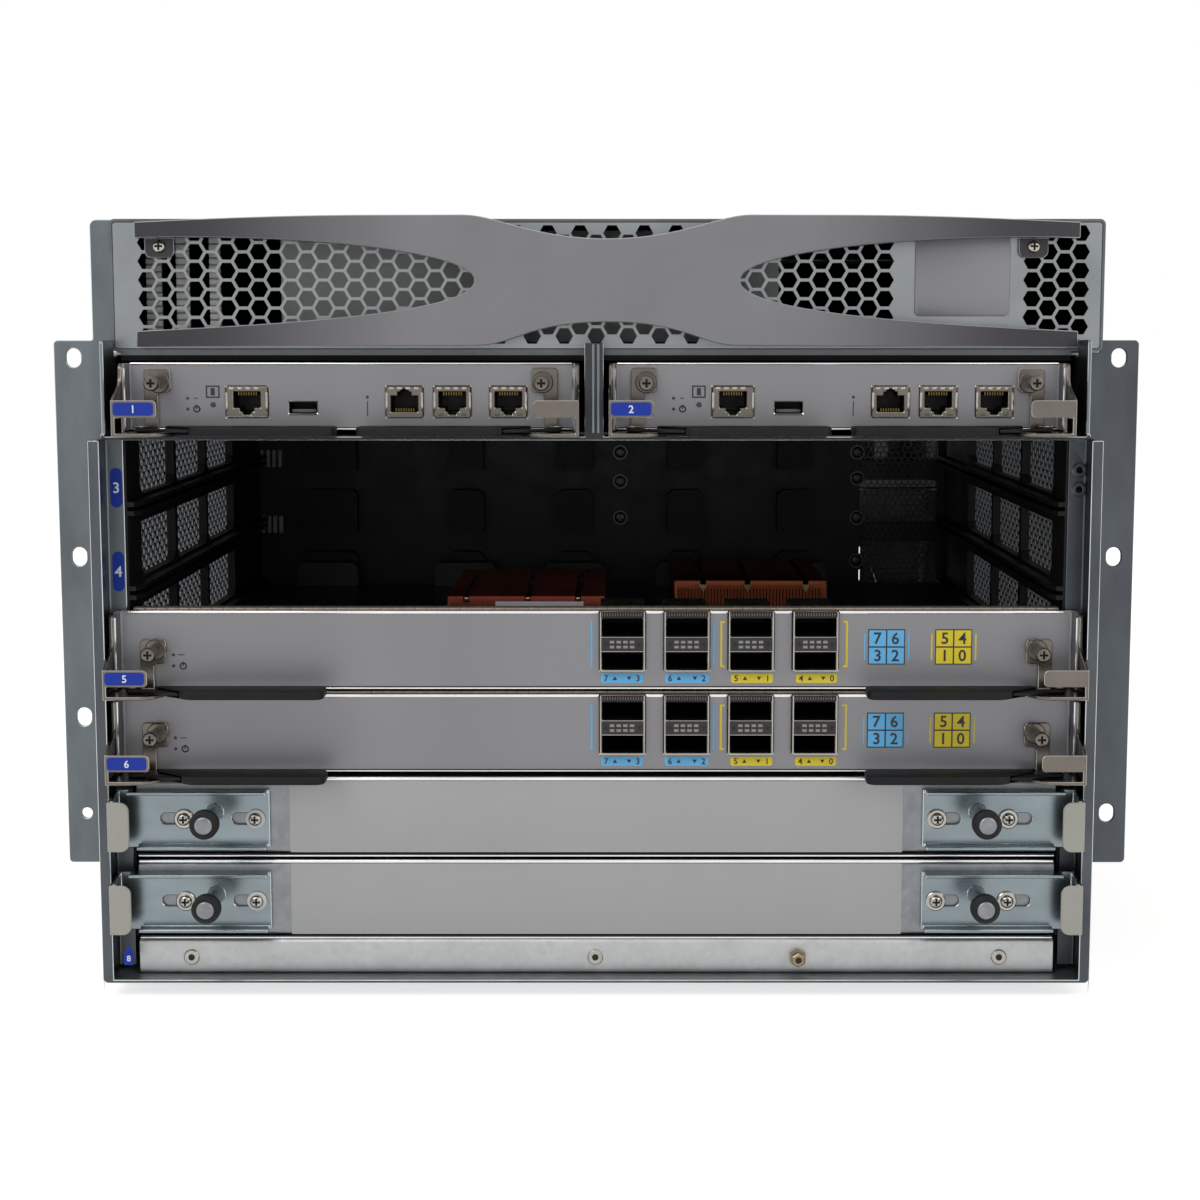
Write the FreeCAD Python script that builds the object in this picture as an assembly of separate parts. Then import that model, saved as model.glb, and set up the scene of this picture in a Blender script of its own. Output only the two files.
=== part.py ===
import FreeCAD, Part
import os
from math import acos, cos, pi, radians, sin, sqrt, tan

# Modular chassis switch: a rack cage with two control blades, two core blades, two filled
# and two open slots, and power supplies and fan trays at the back.
# Millimetres. X runs across the front, Y into the rack, Z up. The origin is on the base
# face, midway across the cage and midway through its depth.

# ---- cage
cage_width = 437.4
half_width = cage_width / 2
cage_depth = 612.0
sheet = 1.5
bend = 1.0                    # inside radius of a fold
touch_gap = 0.3               # curved or sliding faces that only rest near each other
lip_width = 4.8               # front edge of the side wall, turned inwards
top_flange = 16.0
shelf_pitch = 37.4            # one blade slot
slot_count = 6                # slots below the control shelf
slots_floor = 15.9
shelf_z = slots_floor + slot_count * shelf_pitch
cage_wall_top = shelf_z + 37.5
upper_setback = 36.8          # the walls above the shelf start this far behind the lips

# ---- top hood with its grille and bezel
hood_shift = 5.0              # the hood sits a little to the right of the cage
hood_top = cage_wall_top + 58.2
hood_half = half_width
hood_setback = 30.0
skirt_half = half_width - 8.7            # lip under the hood's front, in two lengths beside the divider
skirt_gap = 4.0
skirt_low = cage_wall_top - 3.9
grille_sheet = 1.2
hex_flats = 6.8
hex_web = 1.35
hex_rows = 6
hex_columns_left = 47
hex_columns_right = 4
hex_left_start = -hood_half + 17.2
hex_right_start = hood_half - 30.8
hex_low = hood_top - 54.4
service_panel = (hood_half - 78.8, hood_half - 36.6, hood_top - 42.7, hood_top - 5.0)
service_recess = 0.4

bezel_half = hood_half - 12.7
bezel_wall = 3.0
bezel_bulge = 10.0            # how far the middle stands in front of the ends
bezel_depth_end = 8.0
bezel_end_top = hood_top - 1.7
bezel_end_arm = 6.9
bezel_shoulder = hood_top + 1.0
bezel_shoulder_inner = 62.0
bezel_shoulder_outer = 97.0
bezel_dip = hood_top - 9.2
bezel_bottom = hood_top - 55.7
bezel_arch = hood_top - 44.9
bezel_arch_half = 57.0
bezel_tip = 57.5
bezel_tip_height = hood_top - 27.0
lug_width = 13.0
lug_thick = 2.2
lug_centres = ((27.4 - hood_half, hood_top - 12.0), (hood_half - 26.9, hood_top - 12.0))

# ---- rack mounting
ear_half = half_width + 22.6
rack_hole_x = ear_half - 8.75
bracket_sheet = 2.0
bracket_low = 45.8
bracket_high = cage_wall_top + 5.3
bracket_reach = 40.0
ear_slot_width = 6.7
ear_slot_height = 8.5
ear_round = 5.0
ear_heights = (68.9, 113.35, bracket_high - 96.7, bracket_high - 7.8)
strip_inner = half_width - 4.7
strip_outer = half_width + 5.1

# ---- control shelf
shelf_front = 5.0
shelf_flange_x = half_width - 4.5
shelf_flange_top = cage_wall_top + 5.6
shelf_flange_front = 8.0
divider_half = 4.1
divider_top = cage_wall_top + 4.3
divider_web = 3.0
ledge_setback = 28.5

# ---- blades
face_setback = 17.0           # front of a blade's faceplate behind the cage's front plane
face_return_front = 7.6       # the faceplate's turned-in ends come forward to here
face_low = 2.2
core_face_high = 36.4
control_face_high = 31.3
core_half = half_width - 5.2  # outer faces of the corner brackets
control_centre = (half_width - 6.4) / 2
control_half = control_centre - 6.35
control_shift = -0.65         # the pair and its divider sit a little to the left
control_floor = 0.2
flange_depth = 10.0
flange_inset = 9.7
board_thick = 1.6
core_board_low = 5.4
control_board_low = 6.3
board_back = 372.0
core_board_half = half_width - 12.2
control_board_half = control_half - 4.8
core_screw = (18.7, 19.2)     # captive screw: in from the bracket's face, up from the slot's floor
control_screw = (16.2, 23.0)
screw_head_r = 3.3
screw_neck_r = 2.6
screw_thread_r = 1.9
screw_hole_gap = 0.15
screw_front = -2.0
screw_tail = 22.0

# ---- corner brackets and levers
tab_front = -7.6
tab_height = 7.4
tab_length = 19.4
core_tab_low = 6.0
control_tab_low = 8.5
core_ear = (-7.0, 4.5, -6.5, 4.5)      # screw ear about its screw: left, right, low, high
control_ear = (-6.6, 5.0, -4.5, 6.3)
pivot_inset = 10.5
pivot_setback = 6.0
pivot_r = 2.0
pivot_gap = 0.05
pivot_head_r = 3.4
foot_reach = 14.6
foot_low = 0.2
lever_low = 2.0
lever_sheet = 1.5
lever_eye_r = 6.0
grip_low = 0.8
grip_high = 4.6
grip_front = -10.3
grip_back = 6.5
core_grip = (21.6, 95.6)      # grip's ends from the bracket's outer face
control_grip = (21.6, 95.2)
grip_taper = 15.5

# ---- ports
cage_port_width = 19.9
cage_port_pitch = 28.45
cage_port_first = 11.65
cage_port_low = 9.6
cage_port_high = 36.4
cage_port_front = 14.0
cage_port_depth = 48.0
port_width = 18.2
port_height = 8.2
port_pocket = 44.0
lower_port_low = 10.3
upper_port_low = 25.1
jack_width = 15.9
jack_height = 13.2
wide_jack_width = 17.9
jack_depth = 21.0
jack_front = 16.2
jack_socket = 11.9
jack_socket_height = 7.2
jack_pocket = 14.0
jack_key_width = 6.2
jack_key_height = 1.7
jack_notch_width = 3.6
jack_notch_height = 1.3
jack_offsets = (23.2, 44.1, 68.6)
wide_jack_offset = -45.6
usb_offset = -21.2
usb_width = 12.5
usb_height = 5.2
usb_low = 9.3
usb_depth = 16.0

# ---- fillers and latches
filler_half = half_width - 14.2
filler_setback = 12.0
filler_face_low = 2.6
filler_face_high = 36.4
filler_tray_depth = 110.0
latch_sheet = 1.5
latch_low = 5.9
latch_high = 32.2
latch_outer = half_width - 5.5
latch_inner = latch_outer - 68.2
latch_flange = 6.5
latch_tab_width = 9.6
latch_tab_over = 1.4          # how far the tab laps over the cage's lip
latch_tab_low = 6.5
latch_tab_high = 28.7
latch_tab_front = -2.0
latch_travel = 8.0
latch_slot_r = 2.6
guide_x = (latch_outer - 61.9, latch_outer - 30.2)
guide_height = 18.9
guide_shoulder_r = 2.5
guide_washer_r = 4.4
guide_head_r = 3.0
knob_x = latch_outer - 43.9
knob_height = 22.0
knob_r = 3.8
knob_ring_r = 6.3
knob_ring_long = 6.0
knob_front = -18.6

# ---- card guides, midplane and sill
guide_front = 21.5
guide_inner = half_width - 11.6
guide_wall = 4.0
guide_reach = 5.0             # how far a rib overlaps the board's edge line
guide_rib = 2.0
guide_clear = 0.2
guide_window_ends = (28.0, 89.0)
guide_window_columns = 3
guide_window_bar = 5.0
rail_setback = 20.0
rail_inner = half_width - 10.7
midplane_front = 385.0
midplane_thick = 3.0
midplane_half = half_width - 5.7
midplane_low = 1.5
socket_columns = ((-164.0, 33.0), (-81.9, 21.0), (-16.5, 21.0), (50.0, 21.0), (115.9, 21.0))
socket_low = 0.5
socket_height = 25.5
control_sockets = ((-33.0, 21.0), (27.0, 21.0))
plug_width = 36.0
plug_height = 13.4
plug_depth = 14.0
connector_depth = 10.0
connector_gap = 0.3
air_window = (midplane_half - 57.0, midplane_half - 10.0)
sill_setback = 10.0
sill_top = 17.6
sill_half = half_width - 14.2
sill_inserts = (-181.0, -0.5, 180.0)
standoff_x = 90.0
insert_height = 9.2

# ---- rear modules
rear_shelf = 190.0
module_side_gap = 0.6
fan_depth = 74.0
fan_bore_r = 80.0
fan_wall = 2.5
fan_tip_gap = 1.5
fan_hub_r = 29.0
fan_blades = 7
fan_blade_thick = 2.4
shaft_r = 3.0
shaft_gap = 0.06
supply_depth = 210.0
inlet_width = 24.4
inlet_height = 17.0
inlet_depth = 18.0
pull_width = 60.0
pull_reach = 16.0
pull_drop = 8.0

# ---- derived places
front = -cage_depth / 2
rear = cage_depth / 2
inner_x = half_width - sheet
shelf_top = shelf_z + sheet
control_zero = shelf_top + control_floor
control_centres = (control_shift - control_centre, control_shift + control_centre)
hood_floor = cage_wall_top + 0.2
hood_front = front + hood_setback
face_front = front + face_setback
face_back = face_front + sheet
module_width = half_width - lip_width - sheet / 2 - 2 * module_side_gap
rear_zone = front + midplane_front + midplane_thick
hex_pitch = hex_flats + hex_web
hex_step = hex_pitch * sqrt(3) / 2
parts = {}


def slot_zero(number):
    """Height of the floor of slot 3 to 8, counted from the top."""
    return shelf_z - (number - 2) * shelf_pitch


# ---------------------------------------------------------------- drawing helpers
def spot(plane, a, b, level):
    """A point from two plane coordinates and the level across the plane."""
    if plane == "xy":
        return FreeCAD.Vector(a, b, level)
    if plane == "xz":
        return FreeCAD.Vector(a, level, b)
    return FreeCAD.Vector(level, a, b)


def across(plane, distance):
    """The vector that leaves a plane by a distance."""
    return spot(plane, 0, 0, distance)


def outline(points, plane, level, radii=0.0):
    """Closed wire through the points, with its corners rounded by tangent arcs."""
    count = len(points)
    if not isinstance(radii, (list, tuple)):
        radii = [radii] * count
    corners = []
    for i, (x, y) in enumerate(points):
        if not radii[i]:
            corners.append(((x, y), None, (x, y)))
            continue
        before = points[i - 1]
        after = points[(i + 1) % count]
        u = (before[0] - x, before[1] - y)
        v = (after[0] - x, after[1] - y)
        lu = sqrt(u[0] ** 2 + u[1] ** 2)
        lv = sqrt(v[0] ** 2 + v[1] ** 2)
        u = (u[0] / lu, u[1] / lu)
        v = (v[0] / lv, v[1] / lv)
        half = acos(max(-1.0, min(1.0, u[0] * v[0] + u[1] * v[1]))) / 2
        setback = radii[i] / tan(half)
        split = (u[0] + v[0], u[1] + v[1])
        ls = sqrt(split[0] ** 2 + split[1] ** 2)
        inset = radii[i] / sin(half) - radii[i]
        start = (x + u[0] * setback, y + u[1] * setback)
        middle = (x + split[0] / ls * inset, y + split[1] / ls * inset)
        end = (x + v[0] * setback, y + v[1] * setback)
        corners.append((start, middle, end))
    edges = []
    for i, (start, middle, end) in enumerate(corners):
        if middle:
            edges.append(Part.Arc(spot(plane, *start, level), spot(plane, *middle, level),
                                  spot(plane, *end, level)).toShape())
        follow = corners[(i + 1) % count][0]
        p = spot(plane, *end, level)
        q = spot(plane, *follow, level)
        if p.distanceToPoint(q) > 1e-6:
            edges.append(Part.makeLine(p, q))
    return Part.Wire(edges)


def slab(points, plane, level, thickness, radii=0.0, holes=()):
    """Flat plate cut to an outline, with hole wires drawn in the same plane."""
    wires = [outline(points, plane, level, radii)] + list(holes)
    face = Part.makeFace(wires, "Part::FaceMakerBullseye") if holes else Part.Face(wires[0])
    return face.extrude(across(plane, thickness))


def frame(a0, a1, b0, b1):
    """Corner points of a rectangle."""
    return [(a0, b0), (a1, b0), (a1, b1), (a0, b1)]


def block(x0, x1, y0, y1, z0, z1):
    """Rectangular body between two corners."""
    return Part.makeBox(x1 - x0, y1 - y0, z1 - z0, FreeCAD.Vector(x0, y0, z0))


def folded(path, plane, level, length, thickness=sheet, inside=bend):
    """Bent sheet: the path is one face of the sheet, and its metal lies to the left of it."""
    count = len(path)
    headings = []
    for (x0, y0), (x1, y1) in zip(path, path[1:]):
        run = sqrt((x1 - x0) ** 2 + (y1 - y0) ** 2)
        headings.append(((x1 - x0) / run, (y1 - y0) / run))
    near, far, near_r, far_r = [], [], [], []
    for i, (x, y) in enumerate(path):
        before = headings[max(i - 1, 0)]
        after = headings[min(i, count - 2)]
        normal_in = (-before[1], before[0])
        normal_out = (-after[1], after[0])
        dot = normal_in[0] * normal_out[0] + normal_in[1] * normal_out[1]
        mitre = ((normal_in[0] + normal_out[0]) / (1 + dot),
                 (normal_in[1] + normal_out[1]) / (1 + dot))
        near.append((x, y))
        far.append((x + mitre[0] * thickness, y + mitre[1] * thickness))
        turn = before[0] * after[1] - before[1] * after[0]
        if abs(turn) < 1e-9:
            near_r.append(0.0)
            far_r.append(0.0)
        elif turn > 0:
            near_r.append(inside + thickness)
            far_r.append(inside)
        else:
            near_r.append(inside)
            far_r.append(inside + thickness)
    points = near + far[::-1]
    return slab(points, plane, level, length, near_r + far_r[::-1])


def rod(radius, start, end):
    """Round bar from one point to another."""
    axis = end - start
    return Part.makeCylinder(radius, axis.Length, start, axis)


def y_rod(radius, x, z, y0, y1):
    """Round bar along Y."""
    return rod(radius, FreeCAD.Vector(x, y0, z), FreeCAD.Vector(x, y1, z))


def z_rod(radius, x, y, z0, z1):
    """Round bar along Z."""
    return rod(radius, FreeCAD.Vector(x, y, z0), FreeCAD.Vector(x, y, z1))


def y_turned(x, z, sections):
    """Body turned about a Y axis: sections are (radius, y) from front to back."""
    profile = [(0, sections[0][1])] + list(sections) + [(0, sections[-1][1])]
    wire = Part.makePolygon([FreeCAD.Vector(x + r, y, z) for r, y in profile + profile[:1]])
    return Part.Face(wire).revolve(FreeCAD.Vector(x, 0, z), FreeCAD.Vector(0, 1, 0), 360)


def oval(x0, x1, radius, y, z):
    """Wire of a level round-ended slot in a face across Y."""
    return outline([(x0 - radius, z - radius), (x1 + radius, z - radius),
                    (x1 + radius, z + radius), (x0 - radius, z + radius)], "xz", y, radius * 0.999)


def joined(shapes):
    """One body from several that meet, with the seams between level faces removed."""
    body = shapes[0].fuse(list(shapes[1:]))
    body = body.removeSplitter()
    return body.Solids[0] if len(body.Solids) == 1 else body


def mirrored(shape):
    """The same shape on the other side of the middle of the cage."""
    return shape.mirror(FreeCAD.Vector(0, 0, 0), FreeCAD.Vector(1, 0, 0))


def shifted(shape, x=0.0, y=0.0, z=0.0):
    """A copy of the shape moved by an offset."""
    return shape.translated(FreeCAD.Vector(x, y, z))


def keep(name, *shapes):
    """Store the solids of a node under its name."""
    solids = [solid for shape in shapes for solid in shape.Solids]
    parts[name] = solids[0] if len(solids) == 1 else Part.makeCompound(solids)


# ---------------------------------------------------------------- cage sheet metal
def chassis_tub():
    """Floor and side walls with turned edges, rear shelf and rear divider."""
    w = half_width
    floor = folded([(-w, shelf_z), (-w, 0), (w, 0), (w, shelf_z)], "xz", front, upper_setback)
    top = [(-w + top_flange, cage_wall_top), (-w, cage_wall_top), (-w, 0),
           (w, 0), (w, cage_wall_top), (w - top_flange, cage_wall_top)]
    body = folded(top, "xz", front + upper_setback, cage_depth - upper_setback)
    lip = slab(frame(-w, -w + lip_width, sheet, shelf_z), "xz", front, sheet)
    rear_lip = slab(frame(-w, -w + lip_width, sheet, cage_wall_top), "xz", rear - sheet, sheet)
    deck = block(-inner_x, inner_x, rear_zone + 2.0, rear - sheet, rear_shelf, rear_shelf + sheet)
    wall = block(-sheet / 2, sheet / 2, rear_zone + 2.0, rear - sheet, sheet, cage_wall_top - sheet)
    tie = block(-inner_x, inner_x, rear - 30.0, rear - sheet, cage_wall_top - sheet, cage_wall_top)
    keep("chassis_tub", joined([floor, body, lip, mirrored(lip), rear_lip, mirrored(rear_lip),
                                deck, wall, tie]))


def top_cover():
    """Hood: a closed sheet duct over the cage, open at the front, slotted at the back."""
    h = hood_half
    ring = [(-h, hood_floor), (h, hood_floor), (h, hood_top), (-h, hood_top)]
    inner = frame(-h + sheet, h - sheet, hood_floor + sheet, hood_top - sheet)
    hole = outline(inner, "xz", hood_front, bend)
    duct = slab(ring, "xz", hood_front, rear - hood_front, bend + sheet, [hole])
    slots = []
    slot_rows = 3
    slot_columns = 16
    slot_long = 18.0
    slot_tall = 6.0
    step_x = (2 * h - 40.0) / slot_columns
    step_z = (hood_top - hood_floor - 10.0) / slot_rows
    for i in range(slot_columns):
        x = -h + 20.0 + step_x * (i + 0.5)
        for j in range(slot_rows):
            z = hood_floor + 5.0 + step_z * (j + 0.5)
            slots.append(outline(frame(x - slot_long / 2, x + slot_long / 2,
                                       z - slot_tall / 2, z + slot_tall / 2), "xz", rear - sheet))
    back = slab(inner, "xz", rear - sheet, sheet, 0.0, slots)
    cover = shifted(joined([duct, back]), hood_shift)
    for x0, x1 in ((-skirt_half, control_shift - skirt_gap), (control_shift + skirt_gap, skirt_half)):
        cover = cover.fuse(block(x0, x1, hood_front, hood_front + sheet, skirt_low, hood_floor + 0.5))
    keep("top_cover", cover.removeSplitter())


def hexagon(x, z, y):
    """Hole wire with level top and bottom edges."""
    r = hex_flats / sqrt(3)
    corners = [FreeCAD.Vector(x + r * cos(radians(60 * k)), y, z + r * sin(radians(60 * k)))
               for k in range(6)]
    return Part.makePolygon(corners + corners[:1])


def vent_grille():
    """Front of the hood: a zinc sheet with a honeycomb of holes and a flat service field."""
    y = hood_front
    reach = hex_flats / sqrt(3)
    holes = []
    for start, columns in ((hex_left_start, hex_columns_left), (hex_right_start, hex_columns_right)):
        for i in range(columns):
            x = start + reach + i * hex_step
            first = hex_low + hex_flats / 2 + (hex_pitch / 2 if i % 2 else 0.0)
            holes += [hexagon(x, first + j * hex_pitch, y) for j in range(hex_rows)]
    side = hood_half - sheet - 0.1
    corner = bend + 0.2
    low = hood_floor + sheet + 0.1
    high = hood_top - sheet - 0.1
    plate = slab(frame(hood_shift - side, hood_shift + side, low, high), "xz", y, grille_sheet,
                 corner, holes)
    x0, x1, z0, z1 = service_panel
    recess = slab(frame(x0, x1, z0, z1), "xz", y, service_recess, 1.0)
    body = plate.cut(recess)
    for x, z in lug_centres:
        body = body.cut(y_rod(1.6, x, z, y - 1, y + grille_sheet + 1))
    turn_depth = 12.0
    for s in (-1, 1):
        x = hood_shift + s * side
        body = body.fuse(block(min(x, x - s * grille_sheet), max(x, x - s * grille_sheet),
                               y, y + turn_depth, low + corner, high - corner))
    keep("vent_grille", body)


def bezier(points):
    """Curved edge in the front plane from its control points."""
    curve = Part.BezierCurve()
    curve.setPoles([FreeCAD.Vector(x, 0, z) for x, z in points])
    return curve.toShape()


def front_line(*points):
    """Straight edges in the front plane."""
    spots = [FreeCAD.Vector(x, 0, z) for x, z in points]
    return [Part.makeLine(p, q) for p, q in zip(spots, spots[1:])]


def bezel_outline(trim):
    """Closed outline of the bezel, drawn in by a wall thickness when trim is given."""
    end = bezel_half - trim
    top = bezel_end_top - trim
    arm = bezel_end_top - bezel_end_arm + trim
    low = bezel_bottom + trim
    low_arm = bezel_bottom + bezel_end_arm - trim
    shoulder = bezel_shoulder - trim
    dip = bezel_dip - trim
    arch = bezel_arch + trim
    tip = bezel_tip - trim
    ease = 14.0
    edges = []
    edges += front_line((end, arm), (end, top))
    edges.append(bezier([(end, top), (end - 60, shoulder), (bezel_shoulder_outer + 20, shoulder),
                         (bezel_shoulder_outer, shoulder)]))
    edges += front_line((bezel_shoulder_outer, shoulder), (bezel_shoulder_inner, shoulder))
    edges.append(bezier([(bezel_shoulder_inner, shoulder), (bezel_shoulder_inner - ease, shoulder),
                         (32, dip), (0, dip)]))
    edges.append(bezier([(0, dip), (-32, dip), (-bezel_shoulder_inner + ease, shoulder),
                         (-bezel_shoulder_inner, shoulder)]))
    edges += front_line((-bezel_shoulder_inner, shoulder), (-bezel_shoulder_outer, shoulder))
    edges.append(bezier([(-bezel_shoulder_outer, shoulder), (-bezel_shoulder_outer - 20, shoulder),
                         (-end + 60, shoulder), (-end, top)]))
    edges += front_line((-end, top), (-end, arm))
    edges.append(bezier([(-end, arm), (-140, arm + 2), (-tip, bezel_tip_height + 13),
                         (-tip, bezel_tip_height)]))
    edges.append(bezier([(-tip, bezel_tip_height), (-tip, bezel_tip_height - 14),
                         (-140, low_arm + 3), (-end, low_arm)]))
    edges += front_line((-end, low_arm), (-end, low), (-bezel_arch_half, low + 0.6))
    edges.append(bezier([(-bezel_arch_half, low + 0.6), (-bezel_arch_half + ease + 3, low + 0.6),
                         (-35, arch), (0, arch)]))
    edges.append(bezier([(0, arch), (35, arch), (bezel_arch_half - ease - 3, low + 0.6),
                         (bezel_arch_half, low + 0.6)]))
    edges += front_line((bezel_arch_half, low + 0.6), (end, low), (end, low_arm))
    edges.append(bezier([(end, low_arm), (140, low_arm + 3), (tip, bezel_tip_height - 14),
                         (tip, bezel_tip_height)]))
    edges.append(bezier([(tip, bezel_tip_height), (tip, bezel_tip_height + 13), (140, arm + 2),
                         (end, arm)]))
    return Part.Wire(edges)


def bowed_slab(depth, back):
    """Slab whose front bows outwards across the bezel, from a depth in front of its back."""
    ends = back - depth
    arc = Part.Arc(FreeCAD.Vector(-bezel_half, ends, 0), FreeCAD.Vector(0, ends - bezel_bulge, 0),
                   FreeCAD.Vector(bezel_half, ends, 0)).toShape()
    sides = [Part.makeLine(FreeCAD.Vector(bezel_half, ends, 0), FreeCAD.Vector(bezel_half, back, 0)),
             Part.makeLine(FreeCAD.Vector(bezel_half, back, 0), FreeCAD.Vector(-bezel_half, back, 0)),
             Part.makeLine(FreeCAD.Vector(-bezel_half, back, 0), FreeCAD.Vector(-bezel_half, ends, 0))]
    face = Part.Face(Part.Wire([arc] + sides))
    base = hood_floor
    return shifted(face.extrude(FreeCAD.Vector(0, 0, bezel_shoulder + 5 - base)), 0, 0, base)


def front_bezel():
    """Moulded bezel: a bowed face with two open wings, a rim behind it and two screw lugs."""
    back = hood_front
    outer = shifted(Part.Face(bezel_outline(0.0)), 0, back - 40).extrude(FreeCAD.Vector(0, 80, 0))
    inner = shifted(Part.Face(bezel_outline(2.0)), 0, back - 40).extrude(FreeCAD.Vector(0, 80, 0))
    body = bowed_slab(bezel_depth_end, back).common(outer)
    hollow = bowed_slab(bezel_depth_end - bezel_wall, back + 1).common(inner)
    body = shifted(body.cut(hollow), hood_shift)
    for x, z in lug_centres:
        lug = slab(frame(x - lug_width / 2, x + lug_width / 2, z - 5.0, bezel_end_top - 3.0), "xz",
                   back - lug_thick, lug_thick, [3.0, 3.0, 0, 0])
        body = body.fuse(lug).cut(y_rod(1.6, x, z, back - 10, back + 1))
    keep("front_bezel", body.removeSplitter())
    heads = []
    for x, z in lug_centres:
        y = back - lug_thick
        heads.append(y_turned(x, z, [(1.6, y - 1.9), (2.5, y - 1.3), (2.8, y), (1.4, y),
                                     (1.4, back + 6)]))
    keep("bezel_screws", *heads)


def rack_brackets():
    """Ears: an L of thick sheet on each wall, slotted for the rack's hole pattern."""
    y = front + upper_setback
    for side, name in ((-1, "rack_bracket_left"), (1, "rack_bracket_right")):
        holes = []
        for i, z in enumerate(ear_heights):
            if side > 0 and i == 1:
                continue
            x = rack_hole_x
            if side < 0 and i == 0:
                wire = outline(frame(x - ear_round / 2, x + ear_round / 2, z - ear_round / 2,
                                     z + ear_round / 2), "xz", y, ear_round / 2 * 0.999)
            else:
                wire = outline(frame(x - ear_slot_width / 2, x + ear_slot_width / 2,
                                     z - ear_slot_height / 2, z + ear_slot_height / 2),
                               "xz", y, ear_slot_width / 2 * 0.999)
            holes.append(wire)
        w = half_width
        if side < 0:
            shape = [(w, bracket_low), (ear_half, bracket_low), (ear_half, bracket_high),
                     (strip_outer, bracket_high), (strip_outer, hood_top), (strip_inner, hood_top),
                     (strip_inner, cage_wall_top + 0.4), (w, cage_wall_top + 0.4)]
            radii = [0, 2.0, 2.0, 1.0, 3.0, 0, 0, 0]
            wing_top = hood_top - 3.0
        else:
            notch = hood_half + hood_shift + touch_gap
            shape = [(w, bracket_low), (ear_half, bracket_low), (ear_half, bracket_high),
                     (notch, bracket_high), (notch, cage_wall_top), (w, cage_wall_top)]
            radii = [0, 2.0, 2.0, 0, 0, 0]
            wing_top = cage_wall_top - 0.5
        ear = slab(shape, "xz", y, bracket_sheet, radii, holes)
        wing = slab([(y, bracket_low), (y + bracket_reach, bracket_low),
                     (y + bracket_reach, cage_wall_top - 0.5), (y + 12.0, cage_wall_top - 0.5),
                     (y + 12.0, wing_top), (y, wing_top)] if side < 0 else
                    frame(y, y + bracket_reach, bracket_low, wing_top), "yz", w, bracket_sheet)
        body = joined([ear, wing])
        keep(name, body if side > 0 else mirrored(body))


def slot_shelf():
    """Control shelf: a channel across the cage, its divider and the ledges for the boards."""
    x = shelf_flange_x
    y0 = front + shelf_front
    y1 = front + midplane_front - 1.0
    low_top = cage_wall_top - sheet - touch_gap
    channel = folded([(-x, low_top), (-x, shelf_z), (x, shelf_z), (x, low_top)], "xz", y0, y1 - y0)
    trim = block(-x - 1, x + 1, y0 - 1, front + shelf_flange_front, shelf_top + 1.0, hood_top)
    channel = channel.cut(trim)
    nose = slab([(front + shelf_flange_front, low_top - 5), (hood_front - 1.0, low_top - 5),
                 (hood_front - 1.0, shelf_flange_top), (front + shelf_flange_front, shelf_flange_top)],
                "yz", -x, sheet, [0, 0, 2.0, 2.0])
    web = slab([(y0, shelf_top), (y1, shelf_top), (y1, low_top), (hood_front - 1.0, low_top),
                (hood_front - 1.0, divider_top), (y0, divider_top)], "yz",
               control_shift - divider_web / 2, divider_web, [0, 0, 0, 0, 1.0, 1.0])
    flange = block(control_shift - divider_half, control_shift + divider_half, y0, y0 + sheet,
                   shelf_top, divider_top)
    shapes = [channel, nose, mirrored(nose), web, flange]
    ledge_top = control_zero + control_board_low - touch_gap - sheet
    for centre in control_centres:
        for s in (-1, 1):
            edge = centre + s * (control_board_half - 4.0)
            path = [(edge - s * 4, ledge_top), (edge + s * 4, ledge_top), (edge + s * 4, shelf_top),
                    (edge + s * 12, shelf_top)]
            if s < 0:
                path = path[::-1]
            ledge = folded(path, "xz", front + ledge_setback, y1 - front - ledge_setback, 1.0, 0.6)
            shapes.append(ledge)
    keep("slot_shelf", joined(shapes))


def front_rails():
    """Label rails just inside the front of both walls."""
    y0 = front + sheet + 2.0
    y1 = front + rail_setback
    for side, name in ((-1, "front_rail_left"), (1, "front_rail_right")):
        path = [(inner_x, y0), (inner_x, y1 + sheet), (rail_inner, y1 + sheet)]
        body = folded(path, "xy", sheet + 1.2, shelf_z - sheet - 1.2)
        if side > 0:
            holes = []
            for height in (218.0, 226.5):
                x = (inner_x + rail_inner) / 2
                body = body.fuse(y_rod(3.0, x, height, y1 - 1.5, y1))
                holes.append(y_rod(1.4, x, height, y1 - 2, y1 + 3))
            for hole in holes:
                body = body.cut(hole)
        keep(name, body if side > 0 else mirrored(body))


def bottom_sill():
    """Folded sill that closes the front below the lowest slot, with its inserts."""
    y = front + sill_setback
    path = [(y + 14.0, sill_top), (y, sill_top), (y, sheet), (y + 14.0, sheet)]
    sill = folded(path, "yz", -sill_half, 2 * sill_half)
    rings = []
    for x in sill_inserts:
        sill = sill.cut(y_rod(2.4, x, insert_height, y - 1, y + 3))
        ring = y_rod(3.4, x, insert_height, y - 0.6, y)
        ring = ring.fuse(y_rod(2.35, x, insert_height, y, y + 4.0))
        rings.append(ring.cut(y_rod(1.5, x, insert_height, y - 2, y + 5)).removeSplitter())
    sill = sill.cut(y_rod(2.0, standoff_x, insert_height, y - 1, y + 3))
    keep("bottom_sill", sill)
    hex_points = [(standoff_x + 3.6 * cos(radians(60 * k)), insert_height + 3.6 * sin(radians(60 * k)))
                  for k in range(6)]
    post = slab(hex_points, "xz", y - 6.0, 6.0)
    post = post.fuse(y_rod(1.95, standoff_x, insert_height, y, y + 4.0))
    post = post.cut(y_rod(1.3, standoff_x, insert_height, y - 7, y - 1))
    keep("sill_inserts", *rings, post)


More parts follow.
